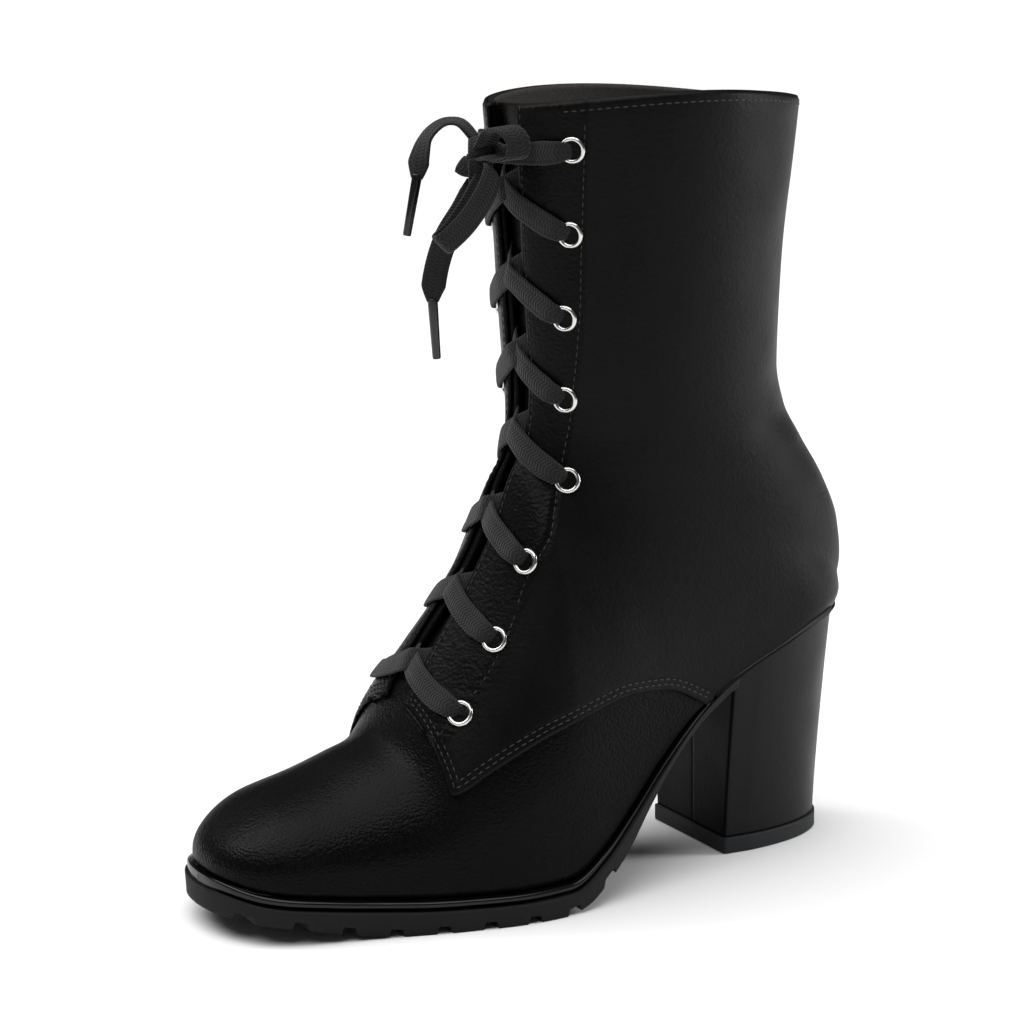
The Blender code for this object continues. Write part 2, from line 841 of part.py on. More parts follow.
def heel_loop(width, back, breast, steps=7):
    """D-shaped plan of the heel, from the breast's inner corner round to the outer one."""
    start = breast + HEEL_STRAIGHT * (back - breast)
    turn = np.linspace(0, math.pi, 2 * steps + 1)
    points = [(-HEEL_CORNER * width, breast)]
    for angle in turn:
        across = -math.cos(angle)
        round_x = math.copysign(abs(across) ** 0.86, across)
        round_y = math.sin(angle) ** 0.9
        points.append((round_x * width / 2, start + (back - start) * round_y))
    points.append((HEEL_CORNER * width, breast))
    return points


def heel_shape(share):
    """Width and back of the heel at a share of its height, drawn in below the seat."""
    swell = share**HEEL_SWELL
    low_width = HEEL_TOP_WIDTH - 2 * TOP_PIECE_FLANGE
    low_back = HEEL_TOP_LENGTH + HEEL_BREAST_Y - TOP_PIECE_FLANGE
    width = low_width + (HEEL_SEAT_WIDTH - low_width) * swell
    back = low_back + (HEEL_SEAT_BACK_Y - low_back) * swell
    return width, back


def seat_height(y):
    """Underside of the welt over the heel, where the heel block ends."""
    return feather_height(y) - 2 * GAP - welt_thickness(y)


def build_heel():
    """Covered block from the top piece up to the seat, and the top piece itself."""
    base = TOP_PIECE_THICK + GAP
    rows = []
    for share in HEEL_LEVELS:
        loop = heel_loop(*heel_shape(share), HEEL_BREAST_Y)
        rows.append([(x, y, base + (seat_height(y) - base) * share) for x, y in loop])

    def build_block(build):
        grid = loft(build, rows, closed_across=True)
        for loop in (grid[0], grid[-1]):
            half = len(loop) // 2
            for i in range(half - 1 + len(loop) % 2):
                corners = (loop[i], loop[i + 1], loop[-2 - i], loop[-1 - i])
                build.faces.new(list(dict.fromkeys(corners)))

    new_object("heel", build_block, "heel_cover")
    back = HEEL_TOP_LENGTH + HEEL_BREAST_Y
    plan = heel_loop(HEEL_TOP_WIDTH, back, HEEL_BREAST_Y - TOP_PIECE_FLANGE)

    def build_top_piece(build):
        levels = [[(x, y, z) for x, y in plan] for z in (0.0, TOP_PIECE_THICK)]
        plate = loft(build, levels, closed_across=True)
        build.faces.new(plate[0])
        build.faces.new(plate[-1])

    new_object("heel_top_piece", build_top_piece, "top_piece_rubber")


def build_eyelets(frames):
    """Turned rings with a barrel through the wall and a flange on the facing."""
    seat = GAP + QUARTER_WALL + EYELET_SEAT_GAP
    barrel = EYELET_BARREL / 2
    hole = EYELET_HOLE / 2
    flange = EYELET_OUTER / 2
    barrel_depth = 0.7 * UPPER_WALL
    profile = (
        (hole, -barrel_depth),
        (barrel, -barrel_depth),
        (barrel, seat),
        (flange, seat),
        (hole + EYELET_RIM / 2, seat + EYELET_RIM),
    )
    for index, (point, normal) in enumerate(frames):
        side = "outer" if index < ROW_COUNT else "inner"
        name = f"eyelet_{side}_{index % ROW_COUNT + 1}"
        loops = []
        for step in range(EYELET_SIDES):
            angle = 2 * math.pi * step / EYELET_SIDES
            loops.append([(r * math.cos(angle), r * math.sin(angle), h) for r, h in profile])
        eyelet = new_object(
            name,
            lambda build: loft(build, loops, closed_across=True, closed_along=True),
            "nickel",
        )
        eyelet.matrix_world = along_normal(point, normal)


def lace_strand(build, stations):
    """Flat band along surface points, each with its height above the upper's surface."""
    points = [point + normal * height for point, normal, height in stations]
    rows = []
    for index, (_, normal, _) in enumerate(stations):
        before = points[max(index - 1, 0)]
        after = points[min(index + 1, len(points) - 1)]
        along = (after - before) / np.linalg.norm(after - before)
        across = np.cross(normal, along)
        across /= np.linalg.norm(across)
        rise = np.cross(along, across)
        corner = points[index]
        half = across * LACE_WIDTH / 2
        thick = rise * LACE_THICK
        rows.append([corner - half, corner + half, corner + half + thick, corner - half + thick])
    grid = loft(build, rows, closed_across=True)
    build.faces.new(grid[0])
    build.faces.new(grid[-1])


def over_flange(point):
    """How far in from an eyelet's middle a strand starts, on a surface that turns away."""
    return (EYELET_OUTER / 2 - FLANGE_LAP) * abs(boot_normals(point[None])[0][1])


def strand_stations(start, end_x, next_z, side, heights):
    """Stations from an eyelet's flange, over the facing, and into the gap."""
    start_x = abs(start[0]) - over_flange(start)
    stations = []
    for share, height in heights:
        x = start_x + (end_x - start_x) * share
        way = (abs(start[0]) - x) / (2 * abs(start[0]))
        point = front_point(side * x, start[2] + (next_z - start[2]) * way)
        stations.append((point, boot_normals(point[None])[0], height))
    return stations


def build_crossings(frames):
    """Two strands joined where they cross in the gap, for each pair of eyelet rows."""
    lie = GAP + QUARTER_WALL + LACE_SEAT_GAP
    lap = GAP + QUARTER_WALL + EYELET_SEAT_GAP + EYELET_RIM + FLANGE_GAP
    outer, inner = frames[:ROW_COUNT], frames[ROW_COUNT:]
    for index in range(ROW_COUNT - 1):
        next_z = outer[index + 1][0][2]
        crossing = None
        for side, row, raised in ((1, outer, 0.0), (-1, inner, 0.5 * LACE_THICK)):
            heights = (
                (0.0, lap),
                (0.3, lie),
                (0.62, lie),
                (0.84, lie - STRAND_DIP / 2 + raised),
                (1.0, lie - STRAND_DIP + raised),
            )
            stations = strand_stations(row[index][0], -STRAND_END_X, next_z, side, heights)
            if crossing is None:
                crossing = new_object(
                    f"lace_cross_{index + 1}",
                    lambda build: lace_strand(build, stations),
                    "lace_cotton",
                )
            else:
                other = cutter_object(
                    f"lace_cross_{index + 1}_second", lambda build: lace_strand(build, stations)
                )
                cut(crossing, other, "UNION")


def build_top_strand(frames):
    """Band over the gap from the top outer eyelet to the top inner one, under the knot."""
    lie = GAP + QUARTER_WALL + LACE_SEAT_GAP
    lap = GAP + QUARTER_WALL + EYELET_SEAT_GAP + EYELET_RIM + FLANGE_GAP
    start = frames[ROW_COUNT - 1][0]
    reach = abs(start[0]) - over_flange(start)
    stations = []
    for x in np.linspace(reach, -reach, 9):
        point = front_point(x, start[2])
        height = lap if abs(x) == reach else lie
        stations.append((point, boot_normals(point[None])[0], height))
    new_object("lace_top", lambda build: lace_strand(build, stations), "lace_cotton")


def smooth_route(route, step):
    """Evenly spaced points on a smooth curve through a route's points."""
    points = np.array(route, dtype=float) * MM
    padded = np.vstack((2 * points[0] - points[1], points, 2 * points[-1] - points[-2]))
    fine = []
    for a, b, c, d in zip(padded, padded[1:], padded[2:], padded[3:]):
        for t in np.linspace(0, 1, 24, endpoint=False):
            square = (2 * a - 5 * b + 4 * c - d) * t**2
            cube = (3 * b - a - 3 * c + d) * t**3
            fine.append(0.5 * (2 * b + (c - a) * t + square + cube))
    fine = np.array([*fine, points[-1]])
    run = np.concatenate(([0.0], np.cumsum(np.linalg.norm(np.diff(fine, axis=0), axis=1))))
    places = np.linspace(0, run[-1], max(2, round(run[-1] / step) + 1))
    return np.stack([np.interp(places, run, fine[:, i]) for i in range(3)], axis=-1)


def build_cord(name, points, diameter, finish):
    """Round tube through points, with closed ends."""
    data = bpy.data.curves.new(name, "CURVE")
    data.dimensions = "3D"
    spline = data.splines.new("POLY")
    spline.points.add(len(points) - 1)
    for target, point in zip(spline.points, points):
        target.co = (*point, 1.0)
    data.bevel_depth = diameter / 2
    data.bevel_resolution = 2
    data.use_fill_caps = True
    register(bpy.data.objects.new(name, data), finish)


def build_aglet(name, route, end):
    """Straight tip that carries on from a lace end, a hair's gap away."""
    start = np.array(route[-1]) * MM
    tip = np.array(end) * MM
    way = (tip - start) / np.linalg.norm(tip - start)
    build_cord(name, [start + way * 2 * GAP, tip], AGLET_DIAMETER, "aglet_plastic")


def build_bow():
    """Knot, two loops, two ends and their aglets."""
    for name, route in (
        ("lace_loop_left", LOOP_LEFT_ROUTE),
        ("lace_loop_right", LOOP_RIGHT_ROUTE),
        ("lace_end_left", END_LEFT_ROUTE),
        ("lace_end_right", END_RIGHT_ROUTE),
    ):
        build_cord(name, smooth_route(route, CORD_STEP), CORD_DIAMETER, "lace_cotton")
    build_aglet("aglet_left", END_LEFT_ROUTE, AGLET_LEFT_END)
    build_aglet("aglet_right", END_RIGHT_ROUTE, AGLET_RIGHT_END)
    centre = Vector(KNOT_CENTRE) * MM

    def build_knot(build):
        bmesh.ops.create_uvsphere(build, u_segments=10, v_segments=6, radius=0.5)
        bmesh.ops.scale(build, vec=Vector(KNOT_SIZE) * MM, verts=build.verts)

    knot = new_object("lace_knot", build_knot, "lace_cotton")
    knot.location = centre


def main():
    """Clears the scene and builds every piece."""
    for existing in list(bpy.data.objects):
        bpy.data.objects.remove(existing, do_unlink=True)
    for name in (OBJECT_NAME, "cutters"):
        bpy.context.scene.collection.children.link(bpy.data.collections.new(name))
    frames = eyelet_frames()
    build_upper(frames)
    build_quarters()
    build_tongue()
    build_sole()
    build_heel()
    build_eyelets(frames)
    build_crossings(frames)
    build_top_strand(frames)
    build_bow()


main()
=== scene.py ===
"""Black leather lace-up ankle boot with a covered block heel, on a pale studio floor."""

import logging
import math
from dataclasses import dataclass
from enum import Enum
from typing import Any, Callable, Mapping, Sequence

import bmesh
import bpy
import numpy as np
from mathutils import Matrix, Vector
from mathutils.kdtree import KDTree

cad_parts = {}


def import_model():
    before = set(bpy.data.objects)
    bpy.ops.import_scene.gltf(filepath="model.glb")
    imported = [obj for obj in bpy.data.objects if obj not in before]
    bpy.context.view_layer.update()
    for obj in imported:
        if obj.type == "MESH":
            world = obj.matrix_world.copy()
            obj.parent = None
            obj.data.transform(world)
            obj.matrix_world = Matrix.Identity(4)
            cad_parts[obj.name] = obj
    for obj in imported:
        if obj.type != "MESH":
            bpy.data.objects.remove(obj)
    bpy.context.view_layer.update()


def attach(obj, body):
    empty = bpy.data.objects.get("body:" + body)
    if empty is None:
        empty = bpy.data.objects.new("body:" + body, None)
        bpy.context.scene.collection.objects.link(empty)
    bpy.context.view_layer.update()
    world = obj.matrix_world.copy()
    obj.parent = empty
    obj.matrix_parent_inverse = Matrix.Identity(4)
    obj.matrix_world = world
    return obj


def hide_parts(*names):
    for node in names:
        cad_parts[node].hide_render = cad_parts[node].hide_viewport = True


LOG = logging.getLogger("ankle_boot")
MM = 0.001
UV_NAME = "surface"
# Vertices closer than this are one vertex.
SAME_PLACE = 0.002 * MM
# Shares below this belong to a grid's first row.
FIRST_ROW = 1e-4

Points = np.ndarray
Table = Sequence[Sequence[float]]
Direction = tuple[float, float, float]
Build = bmesh.types.BMesh
Piece = bpy.types.Object
Material = bpy.types.Material
Tree = bpy.types.NodeTree
Socket = bpy.types.NodeSocket
Values = Mapping[Any, Any] | None


# Shape of the boot


def curve_through(table: Table, places: Any) -> Points:
    """Smooth curve through a table's rows that never swings past a row.

    Args:
        table: Rows of a place and one or more values.
        places: Where the curve is wanted.

    Returns:
        The values, with one more axis than places.
    """
    rows = np.array(table, dtype=float)
    at, values = rows[:, 0], rows[:, 1:]
    steps = np.diff(at)[:, None]
    slopes = np.diff(values, axis=0) / steps
    before, after = slopes[:-1], slopes[1:]
    same_way = before * after > 0
    total = np.where(same_way, before + after, 1.0)
    tangents = np.zeros_like(values)
    tangents[1:-1] = np.where(same_way, 2 * before * after / total, 0.0)
    tangents[0], tangents[-1] = slopes[0], slopes[-1]
    where = np.clip(np.asarray(places, dtype=float), at[0], at[-1])
    index = np.clip(np.searchsorted(at, where) - 1, 0, len(at) - 2)
    step = steps[index, 0]
    t = ((where - at[index]) / step)[..., None]
    step = step[..., None]
    start = (2 * t**3 - 3 * t**2 + 1) * values[index] + (t**3 - 2 * t**2 + t) * step * tangents[index]
    end = (3 * t**2 - 2 * t**3) * values[index + 1] + (t**3 - t**2) * step * tangents[index + 1]
    return start + end


def round_off(distance: Any, length: float, power: float) -> Any:
    """Share of the full width at a distance from a round end of the given length."""
    short = 1 - np.clip(distance / length, 0.0, 1.0)
    return (1 - short**power) ** (1 / power)


def smooth_step(value: Any, low: float, high: float) -> Any:
    """Rises from 0 to 1 between two values, level at both ends."""
    t = np.clip((value - low) / (high - low), 0.0, 1.0)
    return t * t * (3 - 2 * t)


def quarter_round(distance: Any, radius: float) -> Any:
    """Height of a rounded edge, from 0 at the edge to 1 at the radius."""
    return np.sqrt(np.clip(1 - (1 - np.clip(distance / radius, 0, 1)) ** 2, 0, 1))


def bell(distance: Any, width: float) -> Any:
    """Soft bump: 1 at no distance, about a third at the width."""
    return np.exp(-((distance / width) ** 2))


def squared_off(turn: Any, power: float) -> Any:
    """Sine or cosine of a turn made squarer, or rounder, by a power."""
    return np.sign(turn) * np.abs(turn) ** power


def arc_length(points: Points) -> Points:
    """Distance of each point along a line of points."""
    return np.concatenate(([0.0], np.cumsum(np.linalg.norm(np.diff(points, axis=0), axis=1))))


def unit(vectors: Points) -> Points:
    """Vectors brought to length 1."""
    return vectors / np.linalg.norm(vectors, axis=-1, keepdims=True)


@dataclass(frozen=True)
class BootForm:
    """Surface of the boot over its last, with the sizes and tables of the solid model."""

    toe_y: float = -195.0 * MM
    foot_length: float = 225.3 * MM
    height: float = 245.0 * MM
    ball_breadth: float = 82.5 * MM
    shaft_width: float = 84.0 * MM
    foot_blend: float = 12.0 * MM
    seat_back_y: float = 27.4 * MM
    behind_seat: float = 20.0 * MM
    toe_round: tuple[float, float] = (0.150, 2.2)
    seat_round: tuple[float, float] = (0.125, 2.1)
    toe_top_round: tuple[float, float] = (0.110, 2.4)
    shoulder_share: float = 0.28
    foot_scale: float = 0.36
    collar_wing_mm: float = 4.0
    collar_slant_mm: float = 1.8
    # Rows: share of the foot length, middle and half width in ball breadths.
    outline: Table = (
        (0.00, -0.080, 0.390), (0.10, -0.082, 0.396), (0.16, -0.068, 0.412), (0.22, -0.044, 0.438),
        (0.30, -0.006, 0.471), (0.38, 0.033, 0.484), (0.46, 0.058, 0.461), (0.54, 0.068, 0.415),
        (0.62, 0.062, 0.380), (0.70, 0.046, 0.357), (0.80, 0.022, 0.342), (0.90, 0.006, 0.335),
        (1.00, 0.000, 0.330),
    )
    # Rows: share of the foot length, height in boot heights.
    feather: Table = (
        (0.00, 0.0750), (0.04, 0.0655), (0.10, 0.0585), (0.19, 0.0490), (0.26, 0.0445), (0.38, 0.0425),
        (0.45, 0.0440), (0.51, 0.0730), (0.56, 0.1150), (0.62, 0.1720), (0.67, 0.2130), (0.71, 0.2380),
        (0.76, 0.2630), (0.83, 0.2880), (0.90, 0.3090), (1.00, 0.3210),
    )
    sole_bottom: Table = (
        (-0.02, 0.0340), (0.04, 0.0265), (0.07, 0.0230), (0.10, 0.0180), (0.14, 0.0100), (0.19, 0.0025),
        (0.23, 0.0000), (0.44, 0.0000), (0.475, 0.0080), (0.515, 0.0330), (0.55, 0.0650),
        (0.59, 0.1150), (0.63, 0.1600), (0.67, 0.1925), (0.71, 0.2165), (0.76, 0.2400), (1.00, 0.2950),
    )
    # Rows: share of the foot length, height of the top line, powers of the section.
    ridge: Table = (
        (0.00, 0.134, 2.5, 2.1), (0.04, 0.141, 2.5, 2.1), (0.09, 0.155, 2.4, 2.0),
        (0.16, 0.1735, 2.3, 1.9), (0.22, 0.196, 2.2, 1.8), (0.26, 0.213, 2.1, 1.8),
        (0.28, 0.242, 2.0, 1.7), (0.30, 0.283, 2.0, 1.7), (0.34, 0.340, 1.9, 1.6),
        (0.38, 0.392, 1.9, 1.6), (0.42, 0.453, 1.9, 1.6), (0.47, 0.540, 2.0, 1.7),
        (0.60, 0.560, 2.0, 2.0), (0.80, 0.480, 2.0, 2.0), (1.00, 0.350, 2.0, 2.0),
    )
    # Rows: height, front, back, half width and power of the level section.
    shaft: Table = (
        (0.20, -0.330, 0.112, 0.320, 2.2), (0.32, -0.330, 0.113, 0.345, 2.2),
        (0.38, -0.330, 0.124, 0.368, 2.2), (0.43, -0.330, 0.1175, 0.382, 2.2),
        (0.49, -0.332, 0.092, 0.396, 2.2), (0.55, -0.335, 0.055, 0.405, 2.2),
        (0.60, -0.340, 0.029, 0.412, 2.1), (0.66, -0.344, 0.016, 0.424, 2.1),
        (0.75, -0.349, 0.018, 0.444, 2.1), (0.84, -0.355, 0.027, 0.466, 2.0),
        (0.93, -0.361, 0.039, 0.486, 2.0), (1.00, -0.366, 0.0475, 0.500, 2.0),
    )
    # Rows: share of the way up, height of the level sheet at the front and at the back.
    sheets: Table = (
        (0.00, 0.060, 0.312), (0.05, 0.108, 0.343), (0.10, 0.147, 0.376), (0.15, 0.165, 0.408),
        (0.20, 0.178, 0.445), (0.25, 0.185, 0.478), (0.30, 0.205, 0.511), (0.35, 0.264, 0.546),
        (0.40, 0.308, 0.580), (0.45, 0.350, 0.613), (0.50, 0.397, 0.647), (0.60, 0.507, 0.714),
        (0.70, 0.640, 0.780), (0.80, 0.766, 0.848), (0.90, 0.900, 0.922), (1.00, 1.016, 0.993),
    )
    # Rows: share of the way up, places of the fans' centres at the front and at the back.
    centres: Table = (
        (0.00, 0.160, 0.860), (0.15, 0.200, 0.860), (0.25, 0.280, 0.855), (0.40, 0.410, 0.830),
        (0.50, 0.500, 0.800), (0.60, 0.570, 0.770), (0.75, 0.620, 0.740), (1.00, 0.650, 0.740),
    )
    # Rows: place around, angle of the fan's ray, share of the way to the back centre.
    fan: Table = (
        (-1.00, -180.0, 1.0), (-0.62, -114.0, 1.0), (-0.26, -66.0, 0.0), (0.26, 66.0, 0.0),
        (0.62, 114.0, 1.0), (1.00, 180.0, 1.0),
    )

    def share(self, y: Any) -> Any:
        """Share of the foot length from the toe."""
        return (y - self.toe_y) / self.foot_length

    def feather_edge(self, share: Any) -> tuple[Any, Any]:
        """Middle and half width of the edge where the upper meets the sole.

        Args:
            share: Shares of the foot length from the toe.

        Returns:
            x of the middle line, and half the width.
        """
        middle, half = np.moveaxis(curve_through(self.outline, share) * self.ball_breadth, -1, 0)
        end = self.share(self.seat_back_y)
        ends = round_off(share, *self.toe_round), round_off(end - share, *self.seat_round)
        return middle, half * ends[0] * ends[1]

    def feather_height(self, y: Any) -> Any:
        """Height of the feather edge."""
        return curve_through(self.feather, self.share(y))[..., 0] * self.height

    def bottom_height(self, y: Any) -> Any:
        """Height of the bottom of the outsole."""
        return curve_through(self.sole_bottom, self.share(y))[..., 0] * self.height

    def level(self, points: Points) -> Points:
        """Signed measure of points against the upper, below zero inside.

        Args:
            points: Points, with x, y and z last.

        Returns:
            About the distance from the surface, for points near it.
        """
        x, y, z = np.moveaxis(points, -1, 0)
        share = self.share(y)
        middle, half = self.feather_edge(share)
        ridge, side_power, top_power = np.moveaxis(curve_through(self.ridge, share), -1, 0)
        floor = self.feather_height(y)
        top = floor + (ridge * self.height - floor) * round_off(share, *self.toe_top_round)
        shoulder = floor + self.shoulder_share * (top - floor)
        rise = np.clip((z - shoulder) / np.maximum(top - shoulder, MM), 0.0, None)
        across = np.abs(x - middle) / np.maximum(half, 0.05 * MM)
        reach = (across**side_power + rise**top_power) ** (2 / (side_power + top_power))
        foot = (reach - 1) * self.foot_scale * self.ball_breadth
        foot = np.where(y > self.seat_back_y, np.maximum(foot, self.behind_seat), foot)
        front, back, width, power = np.moveaxis(curve_through(self.shaft, z / self.height), -1, 0)
        centre = 0.5 * (front + back) * self.height
        length = 0.5 * (back - front) * self.height
        width = width * self.shaft_width
        reach = (np.abs(x / width) ** power + np.abs((y - centre) / length) ** power) ** (1 / power)
        shaft = (reach - 1) * width
        overlap = np.clip(self.foot_blend - np.abs(foot - shaft), 0.0, None)
        return np.minimum(foot, shaft) - overlap**2 / (4 * self.foot_blend)

    def normals(self, points: Points) -> Points:
        """Outward unit normals at points of the surface.

        Args:
            points: Points, with x, y and z last.

        Returns:
            Directions, one for each point.
        """
        slope = np.empty_like(points)
        for axis in range(3):
            step = np.zeros(3)
            step[axis] = 0.2 * MM
            slope[..., axis] = self.level(points + step) - self.level(points - step)
        return unit(slope)

    def sheet_height(self, up: Any, x: Any, y: Any) -> Any:
        """Height of the level sheet at a share of the way from feather edge to collar.

        Args:
            up: Shares of the way up.
            x: Places across the foot.
            y: Places along the foot.

        Returns:
            Heights, one for each place.
        """
        bend = np.clip(self.share(y), 0.0, 1.1) ** 1.8

        def plain(place: Any) -> Any:
            """Height of a sheet that is free of the feather edge."""
            front, back = np.moveaxis(curve_through(self.sheets, place) * self.height, -1, 0)
            return front + (back - front) * bend

        fade = (1 - up) ** 8
        across = x / (self.shaft_width / 2)
        rim = up**3 * MM * (self.collar_wing_mm * across**2 + self.collar_slant_mm * across)
        return plain(up) + fade * (self.feather_height(y) - plain(np.zeros_like(up))) + rim

    def place(self, around: Any, up: Any) -> Points:
        """Points of the surface.

        Args:
            around: 0 at the toe, 1 and -1 at the back, positive on the outer side.
            up: 0 at the feather edge, 1 at the collar.

        Returns:
            An array of points with one more axis than the arguments.
        """
        around, up = np.broadcast_arrays(np.asarray(around, float), np.asarray(up, float))
        knots = np.array(self.fan)
        angle = np.radians(np.interp(around, knots[:, 0], knots[:, 1]))
        along = np.interp(around, knots[:, 0], knots[:, 2])
        front, back = np.moveaxis(curve_through(self.centres, up), -1, 0)
        centre_y = self.toe_y + (front + (back - front) * along) * self.foot_length
        centre_x = self.feather_edge(self.share(centre_y))[0] * (1 - up)
        way_x, way_y = np.sin(angle), -np.cos(angle)
        near, far = np.zeros_like(centre_x), np.full_like(centre_x, 0.6 * self.foot_length)

        def at(distance: Any) -> Points:
            """Point on the sheet at a distance from the fan's centre."""
            x, y = centre_x + way_x * distance, centre_y + way_y * distance
            return np.stack((x, y, self.sheet_height(up, x, y)), axis=-1)

        for _ in range(26):
            middle = 0.5 * (near + far)
            inside = self.level(at(middle)) < 0
            near, far = np.where(inside, middle, near), np.where(inside, far, middle)
        return at(near)

    def lifted(self, around: Any, up: Any, lift: Any) -> Points:
        """Points moved off the surface, with the feather and collar rows kept level.

        Args:
            around: Places around the boot, as in place.
            up: Shares of the way up.
            lift: Distances off the surface.

        Returns:
            The moved points.
        """
        points = self.place(around, up)
        normals = self.normals(points)
        shape = points.shape[:-1]
        # The very back of the seat is narrow, so its normals are turned straight back.
        seat = smooth_step(np.abs(around), 0.93, 0.985) * (1 - smooth_step(up, 0.03, 0.09))
        seat = np.broadcast_to(seat, shape)[..., None]
        normals = normals * (1 - seat) + np.array((0.0, 1.0, 0.0)) * seat
        rows = np.broadcast_to(up, shape)
        normals[(rows < FIRST_ROW) | (rows > 1 - FIRST_ROW), 2] = 0.0
        return points + unit(normals) * np.broadcast_to(lift, shape)[..., None]

    def front(self, x: Any, z: Any) -> Points:
        """Points of the front of the surface at widths and heights.

        Args:
            x: Places across.
            z: Heights.

        Returns:
            The foremost points of the surface there.
        """
        x, z = np.broadcast_arrays(np.asarray(x, float), np.asarray(z, float))
        near = np.full_like(x, self.toe_y + 0.63 * self.foot_length)
        far = np.full_like(x, self.toe_y - 14 * MM)
        for _ in range(30):
            middle = 0.5 * (near + far)
            inside = self.level(np.stack((x, middle, z), axis=-1)) < 0
            near, far = np.where(inside, middle, near), np.where(inside, far, middle)
        return np.stack((x, near, z), axis=-1)

    def side(self, y: Any, z: Any, sign: int) -> Points:
        """Points of one side of the surface at places along the foot and heights.

        Args:
            y: Places along the foot.
            z: Heights.
            sign: 1 for the outer side, -1 for the inner one.

        Returns:
            The points.
        """
        y, z = np.broadcast_arrays(np.asarray(y, float), np.asarray(z, float))
        x = self.find(
            lambda across: self.level(np.stack((sign * across, y, z), axis=-1)),
            np.zeros_like(y),
            np.full_like(y, 60 * MM),
        )
        return np.stack((sign * x, y, z), axis=-1)

    def find(self, misses: Callable[[Points], Any], low: Any, high: Any) -> Points:
        """Values between low and high at which a rising measure reaches zero.

        Args:
            misses: Gives the measure for an array of values.
            low: Values below the zero.
            high: Values above it.

        Returns:
            The values, one for each pair of low and high.
        """
        low, high = np.array(low, dtype=float), np.array(high, dtype=float)
        for _ in range(24):
            middle = 0.5 * (low + high)
            under = misses(middle) < 0
            low, high = np.where(under, middle, low), np.where(under, high, middle)
        return 0.5 * (low + high)


FORM = BootForm()
# The quarters' outer face over the vamp's.
QUARTER_LIFT = 1.7 * MM


# Meshes


def draped_grid(columns: int, rows: int, place: Callable[[Points, Points], Points]) -> Build:
    """Grid whose vertices are put where a function of two shares says.

    Args:
        columns: Faces along the first share.
        rows: Faces along the second share.
        place: Gives points for two arrays of shares from 0 to 1.

    Returns:
        The new mesh, with the shares as its UV map.
    """
    build = bmesh.new()
    build.loops.layers.uv.new(UV_NAME)
    bmesh.ops.create_grid(build, x_segments=columns, y_segments=rows, size=1.0, calc_uvs=True)
    shares = np.array([vert.co[:2] for vert in build.verts]) / 2 + 0.5
    points = place(shares[:, 0], shares[:, 1])
    for vert, point in zip(build.verts, points):
        vert.co = point
    return build


def close_ends(build: Build) -> None:
    """Joins the long edges of a grid that was rolled up, and fills its open ends."""
    bmesh.ops.remove_doubles(build, verts=build.verts, dist=SAME_PLACE)
    bmesh.ops.holes_fill(build, edges=[edge for edge in build.edges if edge.is_boundary])


def finish_mesh(name: str, build: Build, materials: Sequence[Material], outward: bool = True) -> Piece:
    """Turns a bmesh into a smooth-shaded object at the origin.

    Args:
        name: Name of the piece.
        build: Its mesh, which is freed.
        materials: Its finishes, in slot order.
        outward: Whether the faces are turned outwards.

    Returns:
        The new object, linked to the scene.
    """
    bmesh.ops.remove_doubles(build, verts=build.verts, dist=SAME_PLACE)
    if outward:
        bmesh.ops.recalc_face_normals(build, faces=build.faces)
    mesh = bpy.data.meshes.new(name)
    build.to_mesh(mesh)
    build.free()
    mesh.shade_smooth()
    for material in materials:
        mesh.materials.append(material)
    piece = bpy.data.objects.new(name, mesh)
    bpy.context.scene.collection.objects.link(piece)
    return piece


def give_wall(piece: Piece, thickness: float, inner_slot: int = 0) -> None:
    """Thickens a skin inwards, with a material slot of its own for the inner face.

    Args:
        piece: The skin.
        thickness: Thickness of the wall.
        inner_slot: How many slots on the inner face's finish lies.
    """
    wall = piece.modifiers.new("wall", "SOLIDIFY")
    wall.thickness = thickness
    wall.offset = -1.0
    wall.use_even_offset = False
    wall.material_offset = inner_slot


def ride(piece: Piece, slot: str, *nodes: str) -> None:
    """Puts a piece on the boot's body, in place of its solids.

    Args:
        piece: The finished piece.
        slot: Not used.
        nodes: The solids that it stands for.
    """
    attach(piece, "root")
    if nodes:
        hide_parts(*nodes)
    LOG.info("%s: %d faces", piece.name, len(piece.data.polygons))


def near_tree(points: Points) -> KDTree:
    """Tree for the nearest of some points.

    Args:
        points: Rows of x, y and z.

    Returns:
        The balanced tree.
    """
    tree = KDTree(len(points))
    for index, point in enumerate(points):
        tree.insert(point, index)
    tree.balance()
    return tree


def distances(points: Points, tree: KDTree) -> Points:
    """Distance of each point to the nearest one in a tree."""
    return np.array([tree.find(point)[2] for point in points])


def walk(points: Points, step: float) -> Points:
    """Evenly spaced points along a line of points.

    Args:
        points: The line's points.
        step: Distance wanted between the new ones.

    Returns:
        The new points, with both ends kept.
    """
    run = arc_length(points)
    places = np.linspace(0, run[-1], max(2, int(round(run[-1] / step)) + 1))
    return np.stack([np.interp(places, run, points[:, axis]) for axis in range(3)], axis=-1)


def smooth_route(route: Table, step: float) -> Points:
    """Evenly spaced points on a smooth curve through a route, given in millimetres.

    Args:
        route: Points of the route, in millimetres.
        step: Distance wanted between the new points, in metres.

    Returns:
        The points, in metres.
    """
    points = np.array(route, dtype=float) * MM
    padded = np.vstack((2 * points[0] - points[1], points, 2 * points[-1] - points[-2]))
    fine = []
    for a, b, c, d in zip(padded, padded[1:], padded[2:], padded[3:]):
        for t in np.linspace(0, 1, 24, endpoint=False):
            square = (2 * a - 5 * b + 4 * c - d) * t**2
            cube = (3 * b - a - 3 * c + d) * t**3
            fine.append(0.5 * (2 * b + (c - a) * t + square + cube))
    return walk(np.array([*fine, points[-1]]), step)


# Finishes


